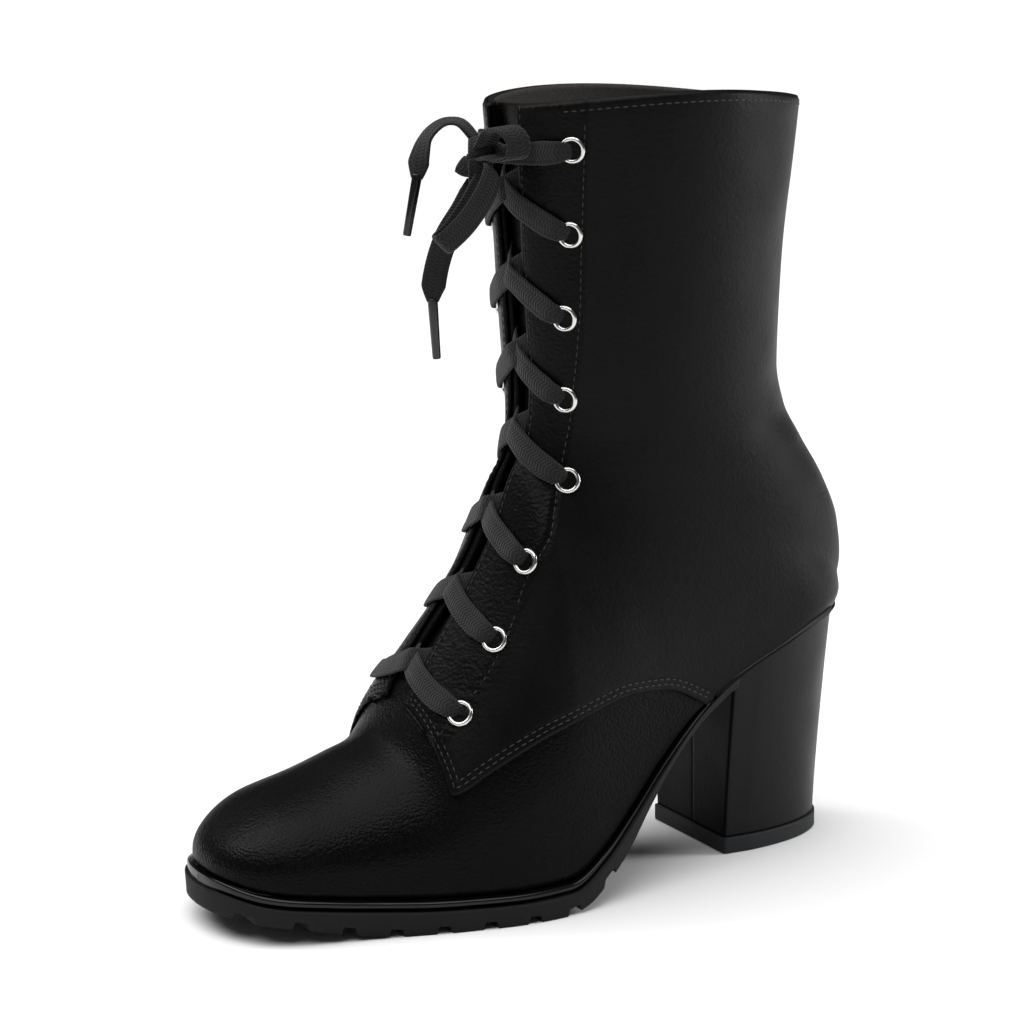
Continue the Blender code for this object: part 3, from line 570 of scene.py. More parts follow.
def linear(hex_colour: str) -> tuple[float, float, float, float]:
    """Linear colour of an sRGB hex value."""
    parts = [int(hex_colour[i : i + 2], 16) / 255 for i in (1, 3, 5)]
    return (*[c / 12.92 if c <= 0.04045 else ((c + 0.055) / 1.055) ** 2.4 for c in parts], 1.0)


def feed(tree: Tree, node: bpy.types.Node, inputs: Mapping[Any, Any]) -> None:
    """Sets a node's inputs, or links them.

    Args:
        tree: The material's nodes.
        node: The node to feed.
        inputs: Values or other nodes' outputs, by input name or number.
    """
    for key, value in inputs.items():
        if isinstance(value, Socket):
            tree.links.new(value, node.inputs[key])
        else:
            node.inputs[key].default_value = value


def add_node(tree: Tree, kind: str, settings: Values = None, inputs: Values = None) -> bpy.types.Node:
    """Adds a shader node.

    Args:
        tree: The material's nodes.
        kind: The node's type, without the words that all of them begin with.
        settings: Properties of the node.
        inputs: What feeds it, by input name or number.

    Returns:
        The new node.
    """
    node = tree.nodes.new("ShaderNode" + kind)
    for name, value in (settings or {}).items():
        setattr(node, name, value)
    feed(tree, node, inputs or {})
    return node


def new_material(name: str) -> tuple[Material, Tree, bpy.types.Node, Socket]:
    """A material, its nodes, its main shader and the place on the boot, in metres.

    Args:
        name: Name of the finish.

    Returns:
        The material, its nodes, its main shader and the output with the place.
    """
    material = bpy.data.materials.new(name)
    material.use_nodes = True
    tree = material.node_tree
    return material, tree, tree.nodes["Principled BSDF"], add_node(tree, "TexCoord").outputs["Object"]


def noise(tree: Tree, place: Socket, scale: float, detail: float) -> Socket:
    """Cloudy value from 0 to 1, with so many waves a metre."""
    inputs = {"Vector": place, "Scale": scale, "Detail": detail}
    return add_node(tree, "TexNoise", inputs=inputs).outputs["Fac"]


def maths(tree: Tree, operation: str, *values: Any) -> Socket:
    """Result of a sum on numbers or other nodes' outputs."""
    return add_node(tree, "Math", {"operation": operation}, dict(enumerate(values))).outputs[0]


def spread(
    tree: Tree, value: Socket, low: float, high: float, start: float = 0.0, end: float = 1.0
) -> Socket:
    """Value moved from the range start to end into the range low to high.

    Args:
        tree: The material's nodes.
        value: The value to move.
        low: What start becomes.
        high: What end becomes.
        start: Start of the value's range.
        end: End of the value's range.

    Returns:
        The output with the moved value.
    """
    names = ("Value", "To Min", "To Max", "From Min", "From Max")
    inputs = dict(zip(names, (value, low, high, start, end)))
    return add_node(tree, "MapRange", inputs=inputs).outputs["Result"]


def two_tone(tree: Tree, share: Socket, first: str, second: str) -> Socket:
    """Mix of two sRGB hex colours."""
    inputs = {"Factor": share, "A": linear(first), "B": linear(second)}
    return add_node(tree, "Mix", {"data_type": "RGBA"}, inputs).outputs["Result"]


def relief(
    tree: Tree, height: Socket, depth_mm: float, under: Socket | None = None, sunk: bool = False
) -> Socket:
    """Normals of a low relief.

    Args:
        tree: The material's nodes.
        height: Height from 0 to 1.
        depth_mm: Real depth of the relief.
        under: Normals of a coarser relief under it.
        sunk: Whether the height is measured downwards.

    Returns:
        The output with the normals.
    """
    inputs = {"Height": height, "Distance": depth_mm * MM, "Strength": 1.0}
    if under:
        inputs["Normal"] = under
    return add_node(tree, "Bump", {"invert": sunk}, inputs).outputs["Normal"]


@dataclass(frozen=True)
class Leather:
    """Chrome-tanned, pigmented and lightly polished hide: black, with a pebbled grain."""

    name: str
    colour: str = "#050505"
    worn_colour: str = "#0a0a0b"
    roughness: float = 0.42
    roughness_spread: float = 0.14
    pebble_mm: float = 1.1
    pebble_depth_mm: float = 0.12
    wrinkle_mm: float = 3.6
    wrinkle_depth_mm: float = 0.12
    specular: float = 0.10
    wrinkle_stretch: Direction = (1.0, 1.0, 2.0)
    drift_mm: float = 0.9
    drift_waves: float = 260.0
    patch_waves: float = 45.0

    def make(self) -> Material:
        """Builds the material.

        Returns:
            The finish, patterned on object coordinates.
        """
        material, tree, shader, place = new_material(self.name)
        # The grain's places are pushed about a little, so that no pebble lies on a straight row.
        cloud = {"Vector": place, "Scale": self.drift_waves, "Detail": 2.0}
        drift = add_node(tree, "TexNoise", inputs=cloud).outputs["Color"]
        push = {0: drift, 1: (self.drift_mm * MM,) * 3, 2: place}
        grain_place = add_node(tree, "VectorMath", {"operation": "MULTIPLY_ADD"}, push).outputs[0]
        # Pebbles: real ones are near 0.5 mm, too fine to show, so they are drawn at about 1 mm.
        cells = {"Vector": grain_place, "Scale": 1000 / self.pebble_mm, "Smoothness": 0.35}
        pebbles = add_node(tree, "TexVoronoi", {"feature": "SMOOTH_F1"}, cells).outputs["Distance"]
        # Wrinkles: fine ridges that come and go in patches, as on hide that has been pulled over.
        stretch = {"Vector": grain_place, "Scale": self.wrinkle_stretch}
        drawn = add_node(tree, "Mapping", inputs=stretch).outputs[0]
        folds = {"Vector": drawn, "Scale": 1000 / self.wrinkle_mm, "Detail": 3.0, "Roughness": 0.55}
        ridged = {"noise_type": "RIDGED_MULTIFRACTAL"}
        wrinkles = add_node(tree, "TexNoise", ridged, folds).outputs["Fac"]
        patches = noise(tree, place, self.patch_waves, 3.0)
        creased = maths(tree, "MULTIPLY", wrinkles, spread(tree, patches, 0.35, 1.0, 0.35, 0.65))
        wrinkled = relief(tree, creased, self.wrinkle_depth_mm)
        half = self.roughness_spread / 2
        surface = {
            "Base Color": two_tone(tree, pebbles, self.worn_colour, self.colour),
            "Roughness": spread(tree, patches, self.roughness - half, self.roughness + half, 0.3, 0.7),
            "Normal": relief(tree, pebbles, self.pebble_depth_mm, wrinkled, sunk=True),
            "Specular IOR Level": self.specular,
        }
        feed(tree, shader, surface)
        return material


@dataclass(frozen=True)
class MouldedRubber:
    """Moulded sole rubber: dull with a fine grain, or glossy where it is lacquered."""

    name: str
    colour: str
    roughness: float
    grain_mm: float = 0.7
    grain_depth_mm: float = 0.03
    specular: float = 0.5
    dust_waves: float = 60.0

    def make(self) -> Material:
        """Builds the material.

        Returns:
            The finish, patterned on object coordinates.
        """
        material, tree, shader, place = new_material(self.name)
        # The mould's grain, and a dusting that shifts tone and gloss a little from place to place.
        grain = noise(tree, place, 1000 / self.grain_mm, 3.0)
        dust = noise(tree, place, self.dust_waves, 4.0)
        tint = {"Value": spread(tree, dust, 0.75, 1.3), "Color": linear(self.colour)}
        surface = {
            "Base Color": add_node(tree, "HueSaturation", inputs=tint).outputs["Color"],
            "Roughness": spread(tree, dust, self.roughness * 0.85, min(1.0, self.roughness * 1.15)),
            "Normal": relief(tree, grain, self.grain_depth_mm),
            "Specular IOR Level": self.specular,
        }
        feed(tree, shader, surface)
        return material


@dataclass(frozen=True)
class BraidedCotton:
    """Flat shoelace braid: dull dyed cotton yarn in slanting ribs that meet in rows of arrowheads."""

    name: str = "lace_cotton"
    colour: str = "#060606"
    # Colour of the ribs' crowns: painted highlight.
    crown_highlight_colour: str = "#1c1c1d"
    rib_mm: float = 1.15
    ribs_across: float = 4.0
    depth_mm: float = 0.22
    fluff_waves: float = 3500.0

    def make(self) -> Material:
        """Builds the material.

        Returns:
            The finish, which reads the band's own UV map: share across, metres along.
        """
        material, tree, shader, place = new_material(self.name)
        uv = add_node(tree, "UVMap", {"uv_map": UV_NAME}).outputs["UV"]
        parts = add_node(tree, "SeparateXYZ", inputs={0: uv}).outputs
        # Ribs: a wave along the lace whose start slides to and fro across it. The yarn's real ribs
        # are near 0.8 mm and would blur, so they are drawn at 1.15 mm.
        slant = maths(tree, "PINGPONG", maths(tree, "MULTIPLY", parts["X"], self.ribs_across), 1.0)
        phase = maths(tree, "ADD", maths(tree, "MULTIPLY", parts["Y"], 1000 / self.rib_mm), slant)
        wave = maths(tree, "SINE", maths(tree, "MULTIPLY", phase, 2 * math.pi))
        crown = maths(tree, "SINE", maths(tree, "MULTIPLY", slant, math.pi))
        ribs = maths(tree, "MULTIPLY_ADD", wave, 0.35, 0.5)
        height = maths(tree, "ADD", ribs, maths(tree, "MULTIPLY", crown, 0.3))
        fluff = noise(tree, place, self.fluff_waves, 2.0)
        uneven = maths(tree, "ADD", height, maths(tree, "MULTIPLY", fluff, 0.35))
        # Base colour lighter on the ribs' crowns and the band's middle: painted highlight.
        surface = {
            "Base Color": two_tone(tree, height, self.colour, self.crown_highlight_colour),
            "Normal": relief(tree, uneven, self.depth_mm),
            "Roughness": 0.88,
            "Specular IOR Level": 0.25,
            "Sheen Weight": 0.15,
            "Sheen Roughness": 0.5,
        }
        feed(tree, shader, surface)
        return material


@dataclass(frozen=True)
class PlainFinish:
    """A finish with a faint unevenness: plated brass, moulded plastic or sewing thread."""

    name: str
    colour: str
    roughness: float
    metallic: float = 0.0
    grain_mm: float = 0.8
    grain_depth_mm: float = 0.01

    def make(self) -> Material:
        """Builds the material.

        Returns:
            The finish, patterned on object coordinates.
        """
        material, tree, shader, place = new_material(self.name)
        grain = noise(tree, place, 1000 / self.grain_mm, 2.0)
        surface = {
            "Base Color": linear(self.colour),
            "Metallic": self.metallic,
            "Roughness": spread(tree, grain, self.roughness * 0.7, min(1.0, self.roughness * 1.3)),
            "Normal": relief(tree, grain, self.grain_depth_mm),
        }
        feed(tree, shader, surface)
        return material


class Palette:
    """All the boot's finishes."""

    def __init__(self) -> None:
        """Makes each finish once."""
        # Calf drawn tight over the toe: deepest grain of the boot, with a soft glow on top.
        self.vamp = Leather(
            "pebbled_calf_vamp", roughness=0.37, pebble_mm=0.85, pebble_depth_mm=0.16, specular=0.06
        ).make()
        # The same calf over the ankle and shaft: flatter grain, a duller and wider sheen.
        self.quarter = Leather("pebbled_calf_quarter", roughness=0.46, pebble_depth_mm=0.06).make()
        # Facings, pulled by the lace: coarse creases that break up the light round the eyelets.
        self.facing = Leather(
            "creased_calf_facing", roughness=0.40, wrinkle_mm=2.8, wrinkle_depth_mm=0.22, specular=0.075
        ).make()
        # Tongue in the shade of the lace: plain grain, near black.
        self.tongue = Leather("pebbled_calf_tongue", roughness=0.45).make()
        # Heel cover, polished and pulled hard over the block: almost no grain and a clear sheen.
        smooth = {"pebble_mm": 0.9, "pebble_depth_mm": 0.03, "wrinkle_depth_mm": 0.03}
        self.heel = Leather("polished_calf_heel", roughness=0.40, specular=0.17, **smooth).make()
        # Breast cover: colour darker than the heel's sides, painted shade for the breast that faces
        # away from the light, with a duller, less glossy finish.
        breast = {"colour": "#030303", "worn_colour": "#050505", "roughness_spread": 0.1}
        self.breast = Leather(
            "breast_cover_painted_shade", roughness=0.5, specular=0.06, **breast, **smooth
        ).make()
        # Split leather lining: warm dark grey, dry, lighter than the outside.
        lining = {"colour": "#3a3836", "worn_colour": "#484644", "roughness_spread": 0.1}
        nap = {"pebble_mm": 0.9, "pebble_depth_mm": 0.04, "wrinkle_mm": 5.0, "wrinkle_depth_mm": 0.05}
        self.lining = Leather("split_leather_lining", roughness=0.7, **lining, **nap).make()
        # Lacquered welt: the one sharp, wet line of light round the boot.
        self.welt = MouldedRubber("lacquered_welt_rubber", "#050505", 0.22, 1.5, 0.015, 0.3).make()
        # Sole rubber straight from the mould: dull dark grey.
        self.sole = MouldedRubber("moulded_sole_rubber", "#121214", 0.72, specular=0.2).make()
        # Top piece: harder rubber, cut and buffed, a shade lighter than the sole.
        self.top_piece = MouldedRubber("top_piece_rubber", "#1d1e20", 0.6, specular=0.25).make()
        # Cotton lace: dull, with light on the crowns of the ribs.
        self.lace = BraidedCotton().make()
        # Bonded thread: charcoal stitches that just stand out from the leather.
        self.thread = PlainFinish("bonded_thread", "#1c1c1d", 0.6, 0.0, 0.4, 0.02).make()
        # Nickel plate: bright silver rings with small hard glints.
        self.nickel = PlainFinish("nickel_plated_brass", "#d4d3d0", 0.20, 1.0).make()
        # Acetate tips: black, smooth and shiny.
        self.aglet = PlainFinish("moulded_acetate", "#101011", 0.22).make()


# Upper


class Side(Enum):
    """The two sides of the boot."""

    OUTER = 1
    INNER = -1


@dataclass
class Upper:
    """Vamp, toe, linings and tongue, and the quarters over them."""

    palette: Palette
    wall: float = 2.0 * MM
    throat_base_z: float = 74.0 * MM
    facing_half_gap: float = 6.0 * MM
    collar_half_gap: float = 9.0 * MM
    setback: float = 1.6 * MM
    flare_from: float = 0.82
    flare_over: float = 0.237
    back_thinning: float = 0.7 * MM
    shell_foot: float = 0.7 * MM
    quarter_foot: float = 0.4 * MM
    quarter_wall: float = 0.9 * MM
    side_height: float = 190.0 * MM
    rim_round: float = 1.3 * MM
    rim_lift: float = 0.25 * MM
    row_insets: tuple[float, float] = (2.2 * MM, 3.8 * MM)
    stitch_pitch: float = 2.6 * MM
    stitch_size: float = 0.24 * MM
    stitch_share: float = 0.40
    tongue_wall: float = 2.0 * MM
    tongue_drop: float = 1.1 * MM
    tongue_half_share: float = 0.165
    tongue_foot: float = 0.335
    slot_share: float = 0.075
    tab_y_share: float = 0.290
    # Rows: share of the foot length, height of the lower seam in boot heights.
    seam: Table = (
        (0.283, 0.166), (0.303, 0.173), (0.340, 0.194), (0.385, 0.218), (0.435, 0.239), (0.500, 0.258),
        (0.560, 0.268), (0.620, 0.264), (0.680, 0.240), (0.740, 0.200),
    )
    # Rows: height in boot heights, place of the fold along the foot in millimetres.
    crease: Table = (
        (0.232, -128.4), (0.259, -123.6), (0.293, -115.5), (0.360, -104.3), (0.436, -95.1),
        (0.482, -88.5), (0.581, -79.3), (0.619, -77.6), (0.692, -76.7), (0.775, -76.3), (0.896, -76.4),
        (0.993, -76.6),
    )

    def half_gap(self, z: Any) -> Any:
        """Half the gap between the facings at a height."""
        flare = np.clip((z / FORM.height - self.flare_from) / self.flare_over, 0.0, 1.0)
        return self.facing_half_gap + (self.collar_half_gap - self.facing_half_gap) * flare

    def lift(self, around: Points, up: Points) -> Points:
        """Height of the quarters over the vamp's surface, less round the back."""
        back = smooth_step(np.abs(around), 0.30, 0.70) * smooth_step(up, 0.25, 0.6)
        return QUARTER_LIFT - self.back_thinning * back

    def slot_around(self, up: Points, extra: float) -> Points:
        """Place around the boot of the throat's edge, for shares of the way up.

        Args:
            up: Shares of the way up.
            extra: How far outside the facings' edge it lies.

        Returns:
            Places around the boot.
        """

        def misses(around: Points) -> Points:
            """How far a place lies outside the edge."""
            points = FORM.place(around, up)
            return points[..., 0] - self.half_gap(points[..., 2]) - extra

        return FORM.find(misses, np.full_like(up, -0.05), np.full_like(up, 0.5))

    def build_shell(self) -> Piece:
        """Vamp and lining in one wall, with the throat left open.

        Returns:
            The shell, dressed outside and inside.
        """
        ups = np.linspace(0, 1, 140)
        throat = self.slot_around(ups, self.setback)
        start = float(np.interp(self.throat_base_z, FORM.place(np.zeros_like(ups), ups)[:, 2], ups))
        inner = self.slot_share

        def warped(s: Points, t: Points) -> tuple[Points, Points]:
            """Place around and up, with the columns drawn aside to the throat's edge.

            Args:
                s: Shares of the way across.
                t: Shares of the way up.

            Returns:
                Places around and up.
            """
            around = s * 2 - 1
            edge = np.interp(t, ups, throat)
            edge = np.where(t < start, np.interp(start, ups, throat), edge)
            size = np.abs(around)
            near = size / inner * edge
            far = edge + (size - inner) / (1 - inner) * (1 - edge)
            return np.sign(around) * np.where(size < inner, near, far), t

        rows = 150
        first = round(start * rows) / rows

        def place(s: Points, t: Points) -> Points:
            """Point of the shell's outer face.

            Args:
                s: Shares of the way across.
                t: Shares of the way up.

            Returns:
                The points.
            """
            around, up = warped(s, t)
            points = FORM.lifted(around, up, 0.0)
            points[up < FIRST_ROW, 2] += self.shell_foot
            return points

        build = draped_grid(280, rows, place)
        uv = build.loops.layers.uv[UV_NAME]
        slot = []
        for face in build.faces:
            middle = sum((loop[uv].uv for loop in face.loops), Vector((0, 0))) / len(face.loops)
            if abs(middle.x * 2 - 1) < inner and middle.y > first:
                slot.append(face)
        bmesh.ops.delete(build, geom=slot, context="FACES")
        piece = finish_mesh("vamp_and_lining", build, (self.palette.vamp, self.palette.lining))
        give_wall(piece, self.wall, 1)
        return piece

    def quarter_edges(self, side: Side) -> tuple[Points, Points]:
        """Places around and up of the facing edge and of the lower edge.

        Args:
            side: Which side of the boot.

        Returns:
            Rows of (around, up) for the front edge, from the tab's corner over the knee to the
            collar, and for the lower edge, from the corner to the back, both evenly spaced.
        """
        sign = side.value
        tab_y = FORM.toe_y + self.tab_y_share * FORM.foot_length
        ups = np.linspace(0.25, 1.0, 300)

        def facing_misses(around: Points, up: Points) -> Points:
            """How far a place lies outside the facing's edge."""
            points = FORM.place(sign * around, up)
            return sign * points[..., 0] - self.half_gap(points[..., 2])

        low, high = np.full_like(ups, -0.05), np.full_like(ups, 0.5)
        facing = FORM.find(lambda around: facing_misses(around, ups), low, high)
        ys = FORM.place(sign * facing, ups)[:, 1]
        knee = float(np.interp(tab_y, ys, ups))
        knee_around = float(np.interp(knee, ups, facing))
        high = np.linspace(knee, 1.0, 400)
        facing = np.stack((np.interp(high, ups, facing), high), axis=-1)

        arounds = np.linspace(knee_around, 0.42, 240)
        front = FORM.find(
            lambda up: FORM.place(sign * arounds, up)[..., 1] - tab_y,
            np.zeros_like(arounds),
            np.full_like(arounds, 0.6),
        )
        points = FORM.place(sign * arounds, front)
        seam_z = curve_through(self.seam, FORM.share(points[:, 1]))[:, 0] * FORM.height
        count = int(np.argmax(points[:, 2] < seam_z))
        tab = np.stack((arounds[:count], front[:count]), axis=-1)

        arounds = np.linspace(arounds[count], 1.0, 700)

        def seam_misses(up: Points) -> Points:
            """How far a place lies above the lower seam.

            Args:
                up: Places up the boot.

            Returns:
                The distances, below zero under the seam.
            """
            points = FORM.place(sign * arounds, up)
            seam = curve_through(self.seam, FORM.share(points[..., 1]))[..., 0] * FORM.height
            past = FORM.share(points[..., 1]) > 0.73
            return np.where(past, 1.0, points[..., 2] - seam)

        low = FORM.find(seam_misses, np.zeros_like(arounds), np.full_like(arounds, 0.6))
        low = np.where(low < 0.004, 0.0, low)
        front_edge = np.vstack((tab[:0:-1], facing))
        lower = np.vstack((tab[-1:], np.stack((arounds[1:], low[1:]), axis=-1)))

        def even(line: Points, count: int) -> Points:
            """The line's rows, spaced evenly over the surface.

            Args:
                line: Rows of a place around and a place up.
                count: Number of rows wanted.

            Returns:
                The rows.
            """
            points = FORM.place(sign * line[:, 0], line[:, 1])
            run = arc_length(points)
            places = np.linspace(0, run[-1], count)
            return np.stack([np.interp(places, run, line[:, axis]) for axis in (0, 1)], axis=-1)

        return even(front_edge, 500), even(lower, 700)

    def quarter_place(self, side: Side) -> tuple[Callable[..., tuple[Points, Points]], Points]:
        """Map from two shares to the quarter's surface, and the line of its free edges.

        Args:
            side: Which side of the boot.

        Returns:
            The map to places around and up, and the points of the edges.
        """
        facing, lower = self.quarter_edges(side)
        collar_around = facing[-1, 0]

        def at(s: Points, t: Points) -> tuple[Points, Points]:
            """Place around and up for two shares, with the grid finer near the tab.

            Args:
                s: Shares of the way across.
                t: Shares of the way up.

            Returns:
                Places around and up.
            """
            s, t = (0.5 * share + 0.5 * share**1.35 for share in (s, t))
            grid = np.linspace(0, 1, len(lower))
            rows = np.linspace(0, 1, len(facing))
            low = np.stack([np.interp(s, grid, lower[:, axis]) for axis in (0, 1)], axis=-1)
            top = np.stack((collar_around + (1 - collar_around) * s, np.ones_like(s)), axis=-1)
            front = np.stack([np.interp(t, rows, facing[:, axis]) for axis in (0, 1)], axis=-1)
            s, t = s[:, None], t[:, None]
            straight = (1 - t) * facing[0] + t * facing[-1]
            mixed = (1 - t) * low + t * top + (1 - s) ** 5 * (front - straight)
            return mixed[:, 0] * side.value, np.clip(mixed[:, 1], 0.0, 1.0)

        free = np.vstack((facing[::-1], lower[lower[:, 1] > 0.002]))
        return at, FORM.place(side.value * free[:, 0], free[:, 1])

    def crease_line(self, side: Side) -> Points:
        """Line of the fold behind the eyelets.

        Args:
            side: Which side of the boot.

        Returns:
            Points from the foot to the collar.
        """
        z = np.linspace(0.238, 0.992, 260) * FORM.height
        y = curve_through(self.crease, z / FORM.height)[:, 0] * MM
        return FORM.side(y, z, side.value)

    def build_quarter(self, side: Side) -> Piece:
        """One side's overlay with its facing, tab and rolled edges.

        Args:
            side: Which side of the boot.

        Returns:
            The overlay, with the facing in front of the fold in a finish of its own.
        """
        at, edge = self.quarter_place(side)
        edge_tree = near_tree(edge)
        crease_tree = near_tree(self.crease_line(side))

        def place(s: Points, t: Points) -> Points:
            """Point of the overlay's outer face.

            Args:
                s: Shares of the way across.
                t: Shares of the way up.

            Returns:
                The points.
            """
            around, up = at(s, t)
            base = FORM.place(around, up)
            rim = distances(base, edge_tree)
            fold = distances(base, crease_tree)
            full = self.lift(around, up)
            lift = self.rim_lift + (full - self.rim_lift) * quarter_round(rim, self.rim_round)
            # Troughs that the stitch rows pull: one everywhere, a second along the tab and seam.
            low_edge = base[:, 2] < 0.30 * FORM.height
            for inset, depth, everywhere in zip(self.row_insets, (0.15 * MM, 0.2 * MM), (True, False)):
                lift -= np.where(low_edge | everywhere, depth * bell(rim - inset, 0.55 * MM), 0.0)
            # The fold behind the eyelets: a groove with a swelling along it, stronger at the foot.
            swelling = np.where(base[:, 2] < 0.52 * FORM.height, 0.28, 0.10) * MM
            lift += swelling * bell(fold - 1.5 * MM, 1.2 * MM)
            lift -= 0.32 * MM * bell(fold, 0.7 * MM)
            # Rolled top at the collar, and the back drawn in where it meets the heel.
            lift -= 0.6 * MM * (1 - quarter_round((1 - up) * self.side_height, 1.0 * MM))
            tuck = (1 - smooth_step(up, 0.0, 0.055)) * smooth_step(base[:, 1], -12 * MM, 18 * MM)
            lift -= np.minimum(1.5 * MM, np.maximum(lift - 0.2 * MM, 0.0)) * tuck
            points = FORM.lifted(around, up, lift)
            points[up < FIRST_ROW, 2] += self.quarter_foot
            return points

        build = draped_grid(150, 170, place)
        for face in build.faces:
            middle = face.calc_center_median()
            fold_y = curve_through(self.crease, middle.z / FORM.height)[0] * MM
            face.material_index = int(middle.y < fold_y)
        name = f"quarter_{side.name.lower()}"
        piece = finish_mesh(name, build, (self.palette.quarter, self.palette.facing))
        give_wall(piece, self.quarter_wall)
        return piece

    @staticmethod
    def inset_row(line: Points, inset: float, sign: int, tree: KDTree) -> Points:
        """Line on the surface beside another, on the side away from the throat and the sole.

        Args:
            line: Points of the edge.
            inset: Distance from it.
            sign: 1 for the outer side, -1 for the inner one.
            tree: Points of all the edges that the row keeps clear of.

        Returns:
            Points of the row.
        """
        inward = np.cross(FORM.normals(line), unit(np.gradient(line, axis=0)))
        centre = np.array((sign * 40.0, -30.0, 120.0)) * MM
        inward *= np.sign(np.sum(inward * (centre - line)))
        row = line + inward * inset
        for _ in range(2):
            row = row - FORM.normals(row) * FORM.level(row)[:, None]
        return row[distances(row, tree) > 0.95 * inset]

    def stitch_rows(self, side: Side) -> list[Points]:
        """Lines of stitching on one side.

        Args:
            side: Which side of the boot.

        Returns:
            Rows along the facing and the seam, the second ones, and the row in the fold.
        """
        sign = side.value
        front, lower = (FORM.place(sign * e[:, 0], e[:, 1]) for e in self.quarter_edges(side))
        seam = lower[lower[:, 2] > FORM.feather_height(lower[:, 1]) + 1.5 * MM]
        tree = near_tree(np.vstack((front, seam)))
        tab = front[front[:, 2] < 0.27 * FORM.height]
        crease = self.crease_line(side)
        near, far = self.row_insets
        rows = [self.inset_row(line, near, sign, tree) for line in (front, seam)]
        rows += [self.inset_row(line, far, sign, tree) for line in (tab, seam)]
        rows.append(self.inset_row(crease, 0.2 * MM, sign, near_tree(crease + 1.0)))
        return rows

    def build_stitches(self) -> Piece:
        """Short threads along the facings, the fold, the lower edge and the collar.

        Returns:
            All the threads in one piece.
        """
        build = bmesh.new()
        rows = [(row, QUARTER_LIFT - 0.07 * MM) for side in Side for row in self.stitch_rows(side)]
        arounds = np.linspace(0.14, 1.86, 800)
        arounds = np.where(arounds > 1, arounds - 2, arounds)
        collar = FORM.place(arounds, np.full_like(arounds, 0.9875))
        rows.append((collar, self.lift(arounds, np.ones_like(arounds))))
        for row, lift in rows:
            normals = FORM.normals(row)
            points = walk(row + normals * np.broadcast_to(lift, len(row))[:, None], self.stitch_pitch)
            for start, end in zip(points, points[1:]):
                self.add_stitch(build, start, end)
        return finish_mesh("seam_stitches", build, (self.palette.thread,))

    def add_stitch(self, build: Build, start: Points, end: Points) -> None:
        """Adds one thread that dives into the leather at both ends.

        Args:
            build: The mesh that gets the thread.
            start: Where the stitch begins.
            end: Where it ends.
        """
        way = Vector(end - start)
        turn = way.to_track_quat("X", "Z").to_matrix().to_4x4()
        turn.translation = Vector((start + end) / 2)
        thick = self.stitch_size
        size = Matrix.Diagonal((way.length * self.stitch_share, thick, thick, 1.0))
        bmesh.ops.create_icosphere(build, subdivisions=1, radius=1.0, matrix=turn @ size)

    def build_tongue(self) -> Piece:
        """Tongue under the facings, with a rounded top at the collar.

        Returns:
            The tongue, with its own thickness.
        """
        lift = -(self.wall + self.tongue_drop)

        def place(s: Points, t: Points) -> Points:
            """Point of the tongue's outer face.

            Args:
                s: Shares of the way across.
                t: Shares of the way up.

            Returns:
                The points.
            """
            around = (s * 2 - 1) * self.tongue_half_share
            top = 1.0 - 0.012 * np.abs(s * 2 - 1) ** 2.5
            up = self.tongue_foot + (top - self.tongue_foot) * t
            ripple = 0.25 * MM * np.sin(t * 46) * np.exp(-((s - 0.5) ** 2) / 0.08)
            return FORM.lifted(around, up, lift + ripple)

        piece = finish_mesh("tongue_flap", draped_grid(60, 160, place), (self.palette.tongue,))
        give_wall(piece, self.tongue_wall)
        rim = piece.modifiers.new("rim", "BEVEL")
        rim.width = 0.6 * MM
        rim.segments = 3
        rim.limit_method = "ANGLE"
        return piece

    def build(self) -> None:
        """Builds and rides every piece of the upper."""
        ride(self.build_shell(), "vamp_leather", "upper")
        for side in Side:
            ride(self.build_quarter(side), "quarter_leather", "quarters")
        ride(self.build_tongue(), "tongue_leather", "tongue")
        ride(self.build_stitches(), "lace_cotton")


# Sole and heel


